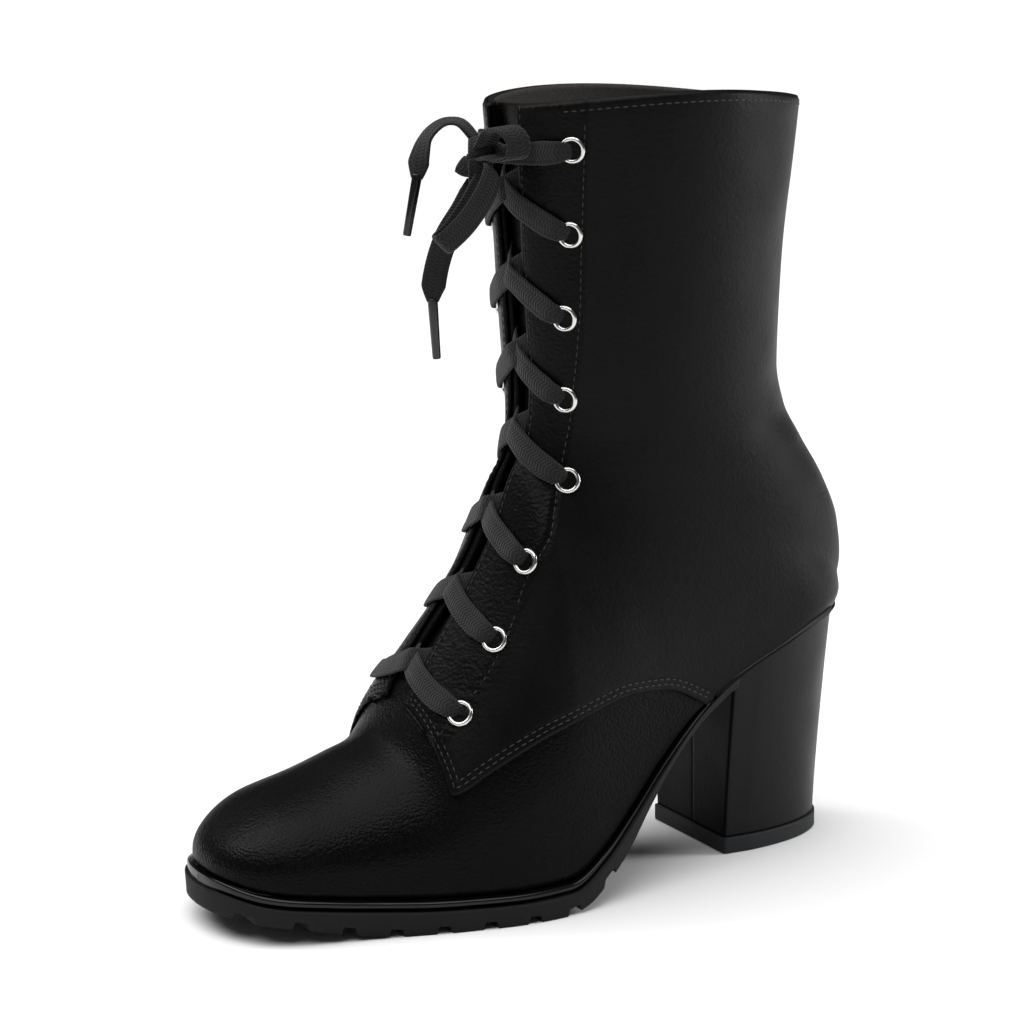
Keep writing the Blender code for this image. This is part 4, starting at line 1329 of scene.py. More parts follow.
@dataclass
class Sole:
    """Welt band, lugged outsole and insole."""

    palette: Palette
    welt_reach: float = 1.8 * MM
    outsole_reach: float = 2.6 * MM
    welt_thick: float = 3.2 * MM
    welt_heel_thick: float = 1.6 * MM
    welt_bulge: float = 0.5 * MM
    heel_reach: float = 0.15 * MM
    welt_fade: tuple[float, float] = (-48.0 * MM, -26.0 * MM)
    outsole_fade: tuple[float, float] = (-60.0 * MM, -27.0 * MM)
    toe_clearance: float = 0.01 * MM
    breast_y: float = -22.0 * MM
    lug_pitch: float = 14.0 * MM
    lug_first_y: float = -191.0 * MM
    lug_notch: float = 4.2 * MM
    lug_depth: float = 2.4 * MM
    lug_count: int = 9
    # Rows: share of the way round half the section, share of the half width, inset in
    # millimetres and share of the way up: over the top, down the wall, under to the middle.
    section: Table = (
        (0.00, 0.0, 0.0, 1.0), (0.08, 0.9, 0.0, 1.0), (0.12, 1.0, -0.5, 1.0), (0.15, 1.0, 0.0, 0.90),
        (0.30, 1.0, -0.7, 0.12), (0.34, 1.0, -1.4, 0.0), (0.36, 1.0, -2.4, 0.0),
        (0.46, 1.0, -14.6, 0.0), (0.48, 1.0, -15.4, 0.0), (0.50, 0.0, 0.0, 0.0),
    )

    def welt_thickness(self, y: Any) -> Any:
        """Thickness of the band: full under the forefoot, thin from the waist back."""
        share = np.clip((FORM.share(y) - 0.46) / 0.12, 0.0, 1.0)
        return self.welt_thick + (self.welt_heel_thick - self.welt_thick) * share

    def edges(self, y: Points, reach: float) -> tuple[Points, Points, Points]:
        """Middle line, and outer and inner edge, of the plan at places along the foot.

        Args:
            y: Places along the foot, from toe to heel.
            reach: How far the edge stands out from the feather edge.

        Returns:
            x of the middle line, and half widths to the outer and the inner side.
        """
        share = np.linspace(0, FORM.share(FORM.seat_back_y), 900)
        middle, half = FORM.feather_edge(share)
        line_y = FORM.toe_y + share * FORM.foot_length
        found = []
        for sign in (1, -1):
            line = np.stack((middle + sign * half, line_y), axis=-1)
            along = np.gradient(line, axis=0)
            line = line + unit(np.stack((sign * along[:, 1], -sign * along[:, 0]), axis=-1)) * reach
            order = np.argsort(line[:, 1])
            found.append(np.interp(y, line[order, 1], line[order, 0]))
        centre = 0.5 * (found[0] + found[1])
        return centre, found[0] - centre, centre - found[1]

    def notched(self, y: Points) -> Points:
        """1 in the notches between the lugs, 0 on the lugs, with steep sides.

        Args:
            y: Places along the foot.

        Returns:
            Shares of the notch's depth.
        """
        found = np.zeros_like(y)
        for index in range(self.lug_count):
            off = np.abs(y - (self.lug_first_y + index * self.lug_pitch))
            cut = 1 - smooth_step(off, 0.40 * self.lug_notch, 0.58 * self.lug_notch)
            found = np.maximum(found, cut)
        return found

    def build_welt(self) -> Piece:
        """Glossy band with a rounded edge between upper and outsole.

        Returns:
            The closed band.
        """
        last = FORM.seat_back_y + self.heel_reach

        def place(s: Points, t: Points) -> Points:
            """Point of the band.

            Args:
                s: Shares of the way round the section.
                t: Shares of the way along.

            Returns:
                The points.
            """
            y = self.stations_at(t, self.welt_reach, last)
            centre, outer, inner = self.edges(y, self.welt_reach)
            drawn_in = (self.welt_reach - self.heel_reach) * smooth_step(y, *self.welt_fade)
            outer, inner = np.maximum(outer - drawn_in, 0), np.maximum(inner - drawn_in, 0)
            angle = s * 2 * math.pi
            across = squared_off(np.cos(angle), 0.12)
            high = squared_off(np.sin(angle), 0.55)
            thick = self.welt_thickness(y)
            half = np.where(across > 0, outer, inner)
            bulge = self.welt_bulge * (1 - high**2) - self.welt_bulge
            wide = np.abs(across)
            x = centre + np.sign(across) * np.maximum(wide * half + bulge * (wide > 0.9), 0)
            z = FORM.feather_height(y) - 0.1 * MM - thick / 2 + high * thick / 2
            return np.stack((x, y, z), axis=-1)

        build = draped_grid(96, 420, place)
        return finish_mesh("welt_band", build, (self.palette.welt,))

    def stations_at(self, t: Points, reach: float, last: float) -> Points:
        """Place along the foot for a share, closer together at the toe and the back.

        Args:
            t: Shares of the way from toe to heel.
            reach: How far the piece stands out at the toe.
            last: Place of its back end.

        Returns:
            Places along the foot.
        """
        first = FORM.toe_y - reach + self.toe_clearance
        eased = 0.5 - 0.5 * np.cos(t * math.pi)
        return first + (last - self.toe_clearance - first) * (0.6 * eased + 0.4 * t)

    def build_outsole(self) -> Piece:
        """Rubber outsole with cut lugs along both edges and shallow bars between.

        Returns:
            The closed outsole.
        """
        last = self.breast_y - 0.9 * MM
        section = np.array(self.section).T

        def place(s: Points, t: Points) -> Points:
            """Point of the outsole.

            Args:
                s: Shares of the way round the section.
                t: Shares of the way along.

            Returns:
                The points.
            """
            first = FORM.toe_y - self.outsole_reach + self.toe_clearance
            y = first + (last - first) * (0.75 * t + 0.25 * t**2)
            centre, outer, inner = self.edges(y, self.outsole_reach)
            drawn_in = (self.outsole_reach - 0.2 * MM) * smooth_step(y, *self.outsole_fade)
            outer, inner = outer - drawn_in, inner - drawn_in
            fold = 0.5 - np.abs(s - 0.5)
            sign = np.where(s < 0.5, 1.0, -1.0)
            half = np.where(sign > 0, outer, inner)
            full, inset, high = (np.interp(fold, section[0], values) for values in section[1:])
            inset = inset * MM
            x = centre + sign * np.maximum(full * half + inset, 0.0)
            bottom = FORM.bottom_height(y)
            top = FORM.feather_height(y) - 0.5 * MM - self.welt_thickness(y)
            edge_notch = np.where((fold > 0.17) & (fold < 0.47), 1.0, 0.0)
            middle_bar = np.where(fold > 0.475, 0.45, 0.0)
            shape = np.where(fold > 0.3, np.maximum(edge_notch, middle_bar), edge_notch)
            cut = self.notched(y) * self.lug_depth * shape
            wall = np.maximum((top - bottom) * high, cut)
            raised = np.where(fold >= 0.3, bottom + cut, bottom + wall)
            z = np.where(fold < 0.15, top * high + bottom * (1 - high), raised)
            return np.stack((x, y, np.minimum(z, top)), axis=-1)

        build = draped_grid(130, 640, place)
        close_ends(build)
        return finish_mesh("lugged_outsole", build, (self.palette.sole,))

    def build(self) -> None:
        """Builds and rides the sole's pieces and dresses the insole."""
        ride(self.build_welt(), "welt_gloss", "welt")
        ride(self.build_outsole(), "sole_rubber", "outsole")
        insole = bpy.data.objects["insole"]
        insole.data.materials.clear()
        insole.data.materials.append(self.palette.lining)


@dataclass
class Heel:
    """Leather-covered block heel and its rubber top piece."""

    palette: Palette
    top_length: float = 45.8 * MM
    top_width: float = 45.4 * MM
    top_thick: float = 5.5 * MM
    flange: float = 0.7 * MM
    breast_y: float = -22.0 * MM
    seat_width: float = 57.0 * MM
    seat_reach: float = 0.9 * MM
    seam_x: float = 1.5 * MM
    seam_depth: float = 0.35 * MM
    seam_width: float = 0.45 * MM
    lap_depth: float = 0.12 * MM
    plan_points: int = 1501
    corner_reach: int = 14

    def plan(self, width: Any, back: Any, breast: float, s: Points) -> tuple[Points, Points]:
        """D-shaped plan with softened breast corners, for shares of the way round.

        Args:
            width: Widths of the plan.
            back: Places of its back.
            breast: Place of its straight breast.
            s: Shares of the way round, from the middle of the breast.

        Returns:
            x and y of the places.
        """
        turn = np.linspace(0, math.pi, 400)
        across = -np.cos(turn)
        x = np.concatenate(([0.0, -0.48], squared_off(across, 0.86) / 2, [0.48, 0.0]))
        y = np.concatenate(([0.0, 0.0], 0.2 + 0.8 * np.sin(turn) ** 0.9, [0.0, 0.0]))
        run = np.concatenate(([0.0], np.cumsum(np.hypot(np.diff(x), np.diff(y)))))
        even = np.linspace(0, run[-1], self.plan_points)[:-1]
        x, y = np.interp(even, run, x), np.interp(even, run, y)
        reach = self.corner_reach
        soft = np.hanning(2 * reach + 3)[1:-1]
        soft /= soft.sum()
        x, y = (np.convolve(np.concatenate((v[-reach:], v, v[:reach])), soft, "valid") for v in (x, y))
        places = np.linspace(0, 1, self.plan_points)
        x, y = np.append(x, x[0]), np.append(y, y[0])
        return np.interp(s, places, x) * width, breast + np.interp(s, places, y) * (back - breast)

    def build_block(self) -> Piece:
        """Covered block, a little swollen at the seat, with its wrap seam on the breast.

        Returns:
            The closed block, with the breast in a finish of its own.
        """
        welt = Sole(self.palette)
        base = self.top_thick + 0.2 * MM

        def place(s: Points, t: Points) -> Points:
            """Point of the block.

            Args:
                s: Shares of the way round.
                t: Shares of the way up.

            Returns:
                The points.
            """
            shape = np.clip(t, 0, 1) ** 1.25
            low_width = self.top_width - 2 * self.flange
            low_back = self.top_length + self.breast_y - self.flange
            width = low_width + (self.seat_width - low_width) * shape
            back = low_back + (FORM.seat_back_y + self.seat_reach - low_back) * shape
            x, y = self.plan(width, back, self.breast_y, s)
            under_welt = 1 - smooth_step(y, self.breast_y + 1 * MM, self.breast_y + 9 * MM)
            seat = FORM.feather_height(y) - 0.4 * MM - welt.welt_thickness(y) * under_welt
            z = base + (seat - base) * t
            flat = y < self.breast_y + 0.3 * MM
            y = y + self.seam_depth * bell(x - self.seam_x, self.seam_width) * flat
            y = y - self.lap_depth * (x > self.seam_x) * flat
            return np.stack((x, y, z), axis=-1)

        build = draped_grid(300, 90, place)
        close_ends(build)
        # Breast faces take the second finish, darker as painted shade.
        for face in build.faces:
            face.material_index = int(face.calc_center_median().y < self.breast_y + 0.45 * MM)
        return finish_mesh("covered_heel", build, (self.palette.heel, self.palette.breast))

    def build_top_piece(self) -> Piece:
        """Rubber lift with rounded rims.

        Returns:
            The closed lift.
        """

        def place(s: Points, t: Points) -> Points:
            """Point of the lift.

            Args:
                s: Shares of the way round.
                t: Shares of the way up.

            Returns:
                The points.
            """
            rim = np.interp(t, (0, 0.2, 0.3, 0.9, 1.0), (-0.5, 0.0, 0.0, 0.0, -0.4)) * MM
            height = np.interp(t, (0, 0.2, 0.9, 1.0), (0.0, 0.35, 5.2, 5.5)) * MM
            back = self.top_length + self.breast_y
            x, y = self.plan(self.top_width + 2 * rim, back + rim, self.breast_y - self.flange - rim, s)
            return np.stack((x, y, height), axis=-1)

        build = draped_grid(300, 20, place)
        close_ends(build)
        return finish_mesh("heel_top_lift", build, (self.palette.top_piece,))

    def build(self) -> None:
        """Builds and rides the heel's pieces."""
        ride(self.build_block(), "heel_cover", "heel")
        ride(self.build_top_piece(), "top_piece_rubber", "heel_top_piece")


# Laces


@dataclass
class Lacing:
    """Eyelets, the crossings between them and the strand at the top."""

    palette: Palette
    eyelet_outer: float = 8.5 * MM
    eyelet_hole: float = 5.3 * MM
    ring_rise: float = 1.05 * MM
    ring_wall: float = 0.3 * MM
    barrel: float = 2.0 * MM
    tuck_x: float = -10.0 * MM
    weave_over: float = 0.75 * MM
    weave_under: float = -0.6 * MM
    top_sag: float = 2.2 * MM
    top_length_mm: float = 62.0
    # Millimetres from the eyelet, with the braid's width and thickness there, in millimetres.
    squeeze_at: tuple[float, ...] = (0, 3, 6, 11)
    squeeze_thick: tuple[float, ...] = (2.2, 2.2, 1.6, 1.3)
    # Rows: share of half the shaft's width, share of the boot's height.
    eyelet_places: Table = (
        (0.619, 0.263), (0.576, 0.349), (0.552, 0.443), (0.505, 0.539), (0.440, 0.642), (0.476, 0.747),
        (0.540, 0.853), (0.593, 0.959),
    )

    def eyelet(self, side: Side, row: int) -> tuple[Points, Points]:
        """Surface point and normal of an eyelet.

        Args:
            side: Which side of the boot.
            row: Row, 0 at the foot.

        Returns:
            The point and the direction.
        """
        across, up = self.eyelet_places[row]
        point = FORM.front(side.value * across * FORM.shaft_width / 2, up * FORM.height)
        return point, FORM.normals(point[None])[0]

    def build_eyelet(self, side: Side, row: int) -> Piece:
        """Rolled ring with its barrel through the wall.

        Args:
            side: Which side of the boot.
            row: Row, 0 at the foot.

        Returns:
            The ring.
        """
        point, normal = self.eyelet(side, row)
        build = bmesh.new()
        tube = (self.eyelet_outer - self.eyelet_hole) / 4
        middle = self.eyelet_hole / 2 + tube
        seat = QUARTER_LIFT - 0.35 * MM
        profile = [(self.eyelet_hole / 2 + 0.25 * MM, -self.barrel), (self.eyelet_hole / 2, seat)]
        for angle in (math.pi - step * math.pi / 8 for step in range(9)):
            rise = self.ring_rise * math.sin(angle)
            profile.append((middle + tube * math.cos(angle), seat + 0.25 * MM + rise))
        profile.append((middle + tube, seat - 0.2 * MM))
        verts = [build.verts.new((r, 0, h)) for r, h in profile]
        edges = [build.edges.new(pair) for pair in zip(verts, verts[1:])]
        full_turn = {"cent": (0, 0, 0), "axis": (0, 0, 1), "angle": 2 * math.pi, "use_merge": True}
        bmesh.ops.spin(build, geom=[*verts, *edges], steps=40, **full_turn)
        turn = Vector(normal).to_track_quat("Z", "Y").to_matrix().to_4x4()
        turn.translation = Vector(point)
        bmesh.ops.transform(build, matrix=turn, verts=build.verts)
        bmesh.ops.recalc_face_normals(build, faces=build.faces)
        name = f"ring_{side.name.lower()}_{row + 1}"
        piece = finish_mesh(name, build, (self.palette.nickel,))
        give_wall(piece, self.ring_wall)
        return piece

    def band(self, name: str, path: Points, across: Points, widths: Points, thicks: Points) -> Piece:
        """Flat braid along a path.

        Args:
            name: Name of the piece.
            path: Points of its middle line.
            across: Directions across the band at the points.
            widths: Widths at the points.
            thicks: Thicknesses at the points.

        Returns:
            The closed band, with share across and metres along as its UV map.
        """
        along = unit(np.gradient(path, axis=0))
        across = unit(across - along * np.sum(across * along, axis=1, keepdims=True))
        rise = np.cross(along, across)
        run = arc_length(path)
        count = len(path)

        def place(s: Points, t: Points) -> Points:
            """Point of the braid.

            Args:
                s: Shares of the way round the section.
                t: Shares of the way along.

            Returns:
                The points.
            """
            index = np.rint(t * (count - 1)).astype(int)
            angle = s * 2 * math.pi
            end = np.where((index == 0) | (index == count - 1), 0.6, 1.0)
            wide = squared_off(np.cos(angle), 0.75) * widths[index] / 2 * end
            high = squared_off(np.sin(angle), 0.6) * thicks[index] / 2 * end
            return path[index] + across[index] * wide[:, None] + rise[index] * high[:, None]

        build = draped_grid(24, count - 1, place)
        uv = build.loops.layers.uv[UV_NAME]
        for face in build.faces:
            for loop in face.loops:
                s, t = loop[uv].uv
                loop[uv].uv = (0.5 + 0.5 * math.cos(s * 2 * math.pi), run[int(round(t * (count - 1)))])
        close_ends(build)
        return finish_mesh(name, build, (self.palette.lace,))

    def build_strand(self, side: Side, row: int) -> Piece:
        """Strand that rises out of an eyelet, crosses the gap and tucks under the far facing.

        Args:
            side: The eyelet's side.
            row: The eyelet's row, 0 at the foot.

        Returns:
            The strand.
        """
        start, other = self.eyelet(side, row)[0], self.eyelet(side, row + 1)[0]
        first, sign = abs(start[0]), side.value
        x = first + (self.tuck_x - first) * np.linspace(0.0, 1.0, 60)
        z = start[2] + (other[2] - start[2]) * ((first - x) / (first + abs(other[0])))
        base = FORM.front(sign * x, z)
        # Height over the surface, in mm: out of the eyelet, over or under the other side's strand
        # in the middle, and down under the far facing.
        lift = np.interp((first - x) / MM, (0.0, 1.0, 3.0, 5.5, 9.0), (-1.5, 2.0, 3.5, 3.1, 2.6))
        edge = float(Upper(self.palette).half_gap(start[2]) / MM)
        over = self.weave_over if (row + (sign < 0)) % 2 else self.weave_under
        places = (self.tuck_x / MM, -edge - 2.0, -edge, -edge + 3.5, 0.0, edge, edge + 3)
        drop = np.interp(x / MM, places, (-5.6, -5.2, -3.6, -2.2, -0.5 + over / MM, -0.1, 0.0))
        path = walk(base + FORM.normals(base) * ((lift + drop) * MM)[:, None], 0.7 * MM)
        for _ in range(6):
            path[1:-1] = 0.25 * path[:-2] + 0.5 * path[1:-1] + 0.25 * path[2:]
        flat = FORM.normals(FORM.front(path[:, 0], path[:, 2]))
        across = np.cross(flat, np.broadcast_to(base[20] - base[0], flat.shape))
        gone = np.cumsum(np.linalg.norm(np.gradient(path, axis=0), axis=1)) / MM
        widths = np.interp(gone, self.squeeze_at, (4.2, 4.6, 6.4, 7.6)) * MM
        thicks = np.interp(gone, self.squeeze_at, self.squeeze_thick) * MM
        thicks = thicks * (1 - 0.35 * smooth_step(gone, gone[-1] - 9, gone[-1] - 2))
        return self.band(f"lace_strand_{side.name.lower()}_{row + 1}", path, across, widths, thicks)

    def build_top(self) -> Piece:
        """Lace from the top outer eyelet under the knot to the top inner one.

        Returns:
            The strand.
        """
        start = self.eyelet(Side.OUTER, len(self.eyelet_places) - 1)[0]
        x = np.linspace(start[0], -start[0], 90)
        z = np.full_like(x, start[2]) - self.top_sag * np.cos(x / start[0] * math.pi / 2)
        base = FORM.front(x, z)
        gone = (start[0] - np.abs(x)) / MM
        lift = np.interp(gone, (0.0, 1.0, 3.0, 5.5, 9.0, 25), (-1.5, 2.2, 3.7, 3.4, 2.9, 3.3)) * MM
        path = walk(base + FORM.normals(base) * lift[:, None], 0.8 * MM)
        flat = FORM.normals(FORM.front(path[:, 0], path[:, 2]))
        across = np.cross(flat, np.broadcast_to(np.array([-1.0, 0.0, 0.0]), flat.shape))
        share = np.linspace(0, 1, len(path))
        near = np.minimum(share, 1 - share) * self.top_length_mm
        widths = np.interp(near, (*self.squeeze_at, 24), (4.2, 4.6, 6.6, 7.6, 6.0)) * MM
        thicks = np.interp(near, self.squeeze_at, self.squeeze_thick) * MM
        return self.band("lace_top_strand", path, across, widths, thicks)

    def build(self) -> None:
        """Builds and rides the eyelets and the lace."""
        for side in Side:
            for row in range(len(self.eyelet_places)):
                ring = self.build_eyelet(side, row)
                ride(ring, "nickel", f"eyelet_{side.name.lower()}_{row + 1}")
        for row in range(len(self.eyelet_places) - 1):
            for side in Side:
                ride(self.build_strand(side, row), "lace_cotton", f"lace_cross_{row + 1}")
        ride(self.build_top(), "lace_cotton", "lace_top")


@dataclass
class Bow:
    """Knot, the two loops, the two ends and their tips."""

    palette: Palette
    lacing: Lacing
    width_mm: float = 7.6
    # How far the braid runs on inside a tip, and how thick it is there.
    tip_mm: float = 16.4
    tip_cord_mm: float = 1.6
    aglet_diameter: float = 3.2 * MM
    aglet_taper: float = 0.82
    aglet_overlap: float = 1.6 * MM
    wrap_high: float = 6.6 * MM
    wrap_deep: float = 4.3 * MM
    # Routes of the free lace, in millimetres.
    knot_centre: Direction = (0.0, -97.6, 231.0)
    loop_left: Table = (
        (3.5, -98.6, 225.5), (6.6, -104.6, 218.6), (8.4, -112.0, 211.0), (9.0, -116.6, 207.6),
        (13.0, -116.8, 208.2), (13.8, -110.0, 214.0), (12.8, -103.2, 221.6), (10.4, -99.4, 227.0),
        (7.3, -98.2, 229.1),
    )
    loop_right: Table = (
        (-3.4, -97.8, 231.4), (0.6, -97.6, 233.2), (4.2, -97.8, 236.2), (9.0, -97.4, 240.6),
        (14.6, -95.8, 241.0), (17.8, -94.2, 237.6), (16.8, -94.4, 233.4), (12.6, -96.2, 232.0),
        (7.7, -97.6, 232.5), (2.0, -97.6, 230.8), (-2.6, -97.8, 228.6),
    )
    end_left: Table = (
        (-2.9, -97.8, 237.3), (-6.3, -101.0, 241.9), (-9.8, -105.2, 241.8), (-12.2, -109.4, 237.8),
        (-13.2, -111.6, 231.4), (-13.7, -112.6, 224.6), (-14.45, -115.8, 208.4),
    )
    end_right: Table = (
        (-0.6, -98.4, 224.5), (0.6, -104.0, 216.4), (1.4, -110.6, 208.0), (1.0, -114.2, 198.0),
        (0.4, -115.2, 188.0), (0.02, -114.1, 171.8),
    )
    aglet_left_end: Direction = (-14.5, -116.0, 207.2)
    aglet_right_end: Direction = (0.0, -114.0, 170.6)
    towards_viewer: Direction = (0.85, -0.49, 0.21)

    def free_band(
        self,
        name: str,
        route: Table,
        facing: Sequence[float],
        twist: Sequence[float],
        narrow_ends: tuple[float, float],
    ) -> tuple[Piece, Points]:
        """Flat braid along a route.

        Args:
            name: Name of the piece.
            route: Points of its middle line, in millimetres.
            facing: Direction that its flat side looks in.
            twist: Turns about the line, in degrees, from start to end.
            narrow_ends: Widths at the start and at the end, in millimetres.

        Returns:
            The band and its path.
        """
        path = smooth_route(route, 0.7 * MM)
        t = np.linspace(0, 1, len(path))
        along = unit(np.gradient(path, axis=0))
        across = unit(np.cross(along, np.broadcast_to(np.array(facing, dtype=float), along.shape)))
        rise = np.cross(along, across)
        angles = np.radians(np.interp(t, np.linspace(0, 1, len(twist)), twist))[:, None]
        across = across * np.cos(angles) + rise * np.sin(angles)
        run = t * np.linalg.norm(np.diff(path, axis=0), axis=1).sum() / MM
        left = run[-1] - run
        tip = self.tip_mm if "_end_" in name else 0.0
        full, cord = self.width_mm, self.tip_cord_mm
        widths = np.interp(run, (0, 5), (narrow_ends[0], full))
        widths = widths * np.interp(left - tip, (0, 5), (narrow_ends[1] / full, 1)) * MM
        widths = np.where(left < tip, cord * MM, widths)
        thicks = np.interp(widths / MM, (cord, 3.0, full), (cord, 2.2, 1.3)) * MM
        return self.lacing.band(name, path, across, widths, thicks), path

    def build_aglet(self, name: str, start: Sequence[float], end: Sequence[float]) -> Piece:
        """Moulded tip with a rounded end and a faint taper.

        Args:
            name: Name of the piece.
            start: Where the tip begins on the lace, in millimetres.
            end: Its far end.

        Returns:
            The tip.
        """
        first, last = Vector(start) * MM, Vector(end) * MM
        way = last - first
        build = bmesh.new()
        bmesh.ops.create_cone(
            build,
            cap_ends=True,
            segments=28,
            radius1=self.aglet_diameter / 2,
            radius2=self.aglet_diameter / 2 * self.aglet_taper,
            depth=way.length + self.aglet_overlap,
        )
        rims = [edge for edge in build.edges if abs(edge.verts[0].co.z - edge.verts[1].co.z) < 1e-7]
        rounding = {"segments": 3, "profile": 0.5, "affect": "EDGES", "material": -1}
        bmesh.ops.bevel(build, geom=rims, offset=0.45 * MM, **rounding)
        turn = way.to_track_quat("Z", "Y").to_matrix().to_4x4()
        turn.translation = (first + last) / 2 - way.normalized() * self.aglet_overlap / 2
        bmesh.ops.transform(build, matrix=turn, verts=build.verts)
        return finish_mesh(name, build, (self.palette.aglet,))

    def knot_frame(self) -> tuple[Points, Points, Points, Points]:
        """Centre of the knot, and the directions to the viewer, to the side and up.

        Returns:
            The point and the three directions.
        """
        view = np.array(self.towards_viewer)
        side = unit(np.cross((0.0, 0.0, 1.0), view))
        return np.array(self.knot_centre) * MM, view, side, np.cross(view, side)

    def build_wrap(self) -> Piece:
        """Overhand knot's outer turn: a band wrapped down the front.

        Returns:
            The band.
        """
        centre, view, side, high = self.knot_frame()
        turns = np.linspace(0, 2 * math.pi, 70)
        wrap = centre + np.outer(np.sin(turns) * self.wrap_high, high)
        wrap = wrap + np.outer(np.cos(turns) * self.wrap_deep, view)
        across = np.broadcast_to(side + 0.15 * high, wrap.shape)
        widths, thicks = np.full(len(turns), 7.4 * MM), np.full(len(turns), 1.7 * MM)
        return self.lacing.band("knot_wrap", wrap, across, widths, thicks)

    def build_core(self) -> Piece:
        """Doubled lace inside the knot, seen to either side of the wrap.

        Returns:
            The lump.
        """
        centre, view, side, high = self.knot_frame()
        t = np.linspace(-1, 1, 40)
        path = centre + np.outer(t * self.wrap_high, side)
        path = path + np.outer(2.2 * MM * np.sin(t * 2.6), high)
        path = path + np.outer(1.2 * MM * np.cos(t * 1.5), view)
        across = np.broadcast_to(high, path.shape)
        widths, thicks = (7.4 - 1.8 * t**2) * MM, (4.4 - 1.6 * t**2) * MM
        return self.lacing.band("knot_core", path, across, widths, thicks)

    def build(self) -> None:
        """Builds and rides the bow."""
        for knot in (self.build_wrap(), self.build_core()):
            ride(knot, "lace_cotton", "lace_knot")
        tips = {
            "left": self.build_aglet("tip_left", self.end_left[-2], self.aglet_left_end),
            "right": self.build_aglet("tip_right", self.end_right[-2], self.aglet_right_end),
        }
        for name, tip in tips.items():
            ride(tip, "aglet_plastic", f"aglet_{name}")
        viewer = self.towards_viewer
        for name, route, facing, twist, ends in (
            ("end_left", self.end_left, viewer, (60, 68, 55, 20, 0, 0), (6.0, 3.4)),
            ("end_right", self.end_right, viewer, (10, 0, -10, 0, 0), (6.4, 3.4)),
            ("loop_left", self.loop_left, (0.0, 0.7, -0.7), (90, 90), (6.4, 6.4)),
            ("loop_right", self.loop_right, (0.15, 1.0, 0.1), (90, 90), (6.4, 6.4)),
        ):
            piece, path = self.free_band(f"bow_{name}", route, facing, twist, ends)
            ride(piece, "lace_cotton", f"lace_{name}")
            tip = tips[name.removeprefix("end_")] if name.startswith("end") else None


# Studio


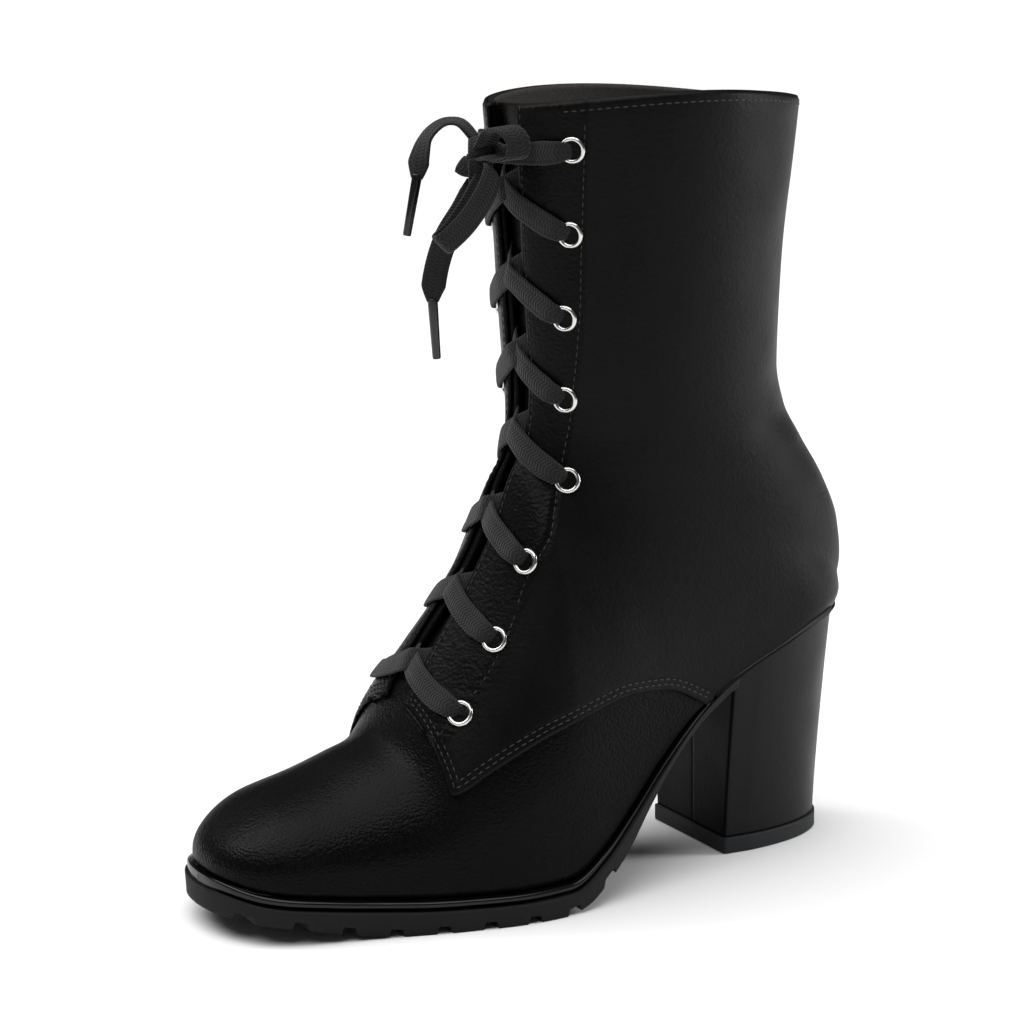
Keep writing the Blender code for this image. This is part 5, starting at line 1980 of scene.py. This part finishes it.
@dataclass(frozen=True)
class Studio:
    """Pale floor, soft lights and the camera at the photograph's angle."""

    azimuth: float = 60.2
    elevation: float = 12.06
    roll: float = -0.69
    distance: float = 967.0 * MM
    target: Direction = (0.0, -0.075, 0.130)
    focal_px: float = 3054.7
    frame_px: float = 1024.0
    target_px: tuple[float, float] = (548.2, 473.4)
    sensor_mm: float = 36.0
    sky_strength: float = 3.3
    sky_spread: float = 70.0
    sky_tilt: float = 12.0
    world_strength: float = 0.10
    floor_size: float = 14.0

    def camera_axes(self) -> tuple[Vector, Vector, Vector]:
        """Right, up and backward directions of the camera.

        Returns:
            The three directions.
        """
        az, el, roll = (math.radians(v) for v in (self.azimuth, self.elevation, self.roll))
        back = Vector((math.sin(az) * math.cos(el), -math.cos(az) * math.cos(el), math.sin(el)))
        right = Vector((math.cos(az), math.sin(az), 0.0))
        up = back.cross(right)
        turned_right = right * math.cos(roll) + up * math.sin(roll)
        turned_up = up * math.cos(roll) - right * math.sin(roll)
        return turned_right, turned_up, back

    def add_camera(self) -> None:
        """Puts the camera where the photograph was taken from."""
        right, up, back = self.camera_axes()
        data = bpy.data.cameras.new("camera")
        data.sensor_width = self.sensor_mm
        data.lens = self.sensor_mm * self.focal_px / self.frame_px
        data.shift_x = (self.frame_px / 2 - self.target_px[0]) / self.frame_px
        data.shift_y = (self.target_px[1] - self.frame_px / 2) / self.frame_px
        data.clip_end = 50.0
        data.dof.use_dof = False
        camera = bpy.data.objects.new("camera", data)
        matrix = Matrix((right, up, back)).transposed().to_4x4()
        matrix.translation = Vector(self.target) + back * self.distance
        camera.matrix_world = matrix
        bpy.context.scene.collection.objects.link(camera)
        bpy.context.scene.camera = camera

    @staticmethod
    def add_light(
        name: str, place: Direction, aim: Direction, size: tuple[float, float], watts: float
    ) -> None:
        """Adds one soft rectangular light.

        Args:
            name: Name of the light.
            place: Where it stands.
            aim: The point that it faces.
            size: Its width and height.
            watts: Its power.
        """
        data = bpy.data.lights.new(name, "AREA")
        data.shape = "RECTANGLE"
        data.size, data.size_y = size
        data.energy = watts
        light = bpy.data.objects.new(name, data)
        way = Vector(aim) - Vector(place)
        matrix = way.to_track_quat("-Z", "Y").to_matrix().to_4x4()
        matrix.translation = Vector(place)
        light.matrix_world = matrix
        bpy.context.scene.collection.objects.link(light)

    def add_floor(self) -> None:
        """Wide pale floor."""
        build = bmesh.new()
        bmesh.ops.create_grid(build, x_segments=8, y_segments=8, size=self.floor_size)
        # Matt white paint: a bright, even ground with a soft shadow under the boot.
        material, tree, shader, _ = new_material("painted_floor")
        paint = {"Base Color": linear("#f7f7f7"), "Roughness": 0.9, "Specular IOR Level": 0.1}
        feed(tree, shader, paint)
        floor = finish_mesh("floor", build, (material,), outward=False)

    def build(self) -> None:
        """Builds the whole studio."""
        self.add_floor()
        self.add_camera()
        sun = bpy.data.lights.new("sky_panel", "SUN")
        sun.energy, sun.angle = self.sky_strength, math.radians(self.sky_spread)
        panel = bpy.data.objects.new("sky_panel", sun)
        tilt = Matrix.Rotation(math.radians(self.sky_tilt), 4, "X")
        panel.matrix_world = Matrix.Translation((0, 0, 3)) @ tilt
        bpy.context.scene.collection.objects.link(panel)
        self.add_light("key", (-0.95, -0.95, 1.2), (0, -0.10, 0.08), (0.7, 0.7), 7.0)
        self.add_light("rim", (0.55, 1.1, 0.5), (0, 0.0, 0.08), (0.35, 0.9), 10.0)
        world = bpy.data.worlds.new("studio")
        world.use_nodes = True
        glow = {"Color": linear("#f2f2f2"), "Strength": self.world_strength}
        feed(world.node_tree, world.node_tree.nodes["Background"], glow)
        bpy.context.scene.world = world
        bpy.context.scene.view_settings.view_transform = "Standard"


def main() -> None:
    """Builds the boot on its frame and the studio around it."""
    logging.basicConfig(level=logging.INFO, format="%(name)s: %(message)s")
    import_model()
    Studio().build()
    palette = Palette()
    lacing = Lacing(palette)
    Upper(palette).build()
    Sole(palette).build()
    Heel(palette).build()
    lacing.build()
    Bow(palette, lacing).build()


if __name__ == "__main__":
    main()
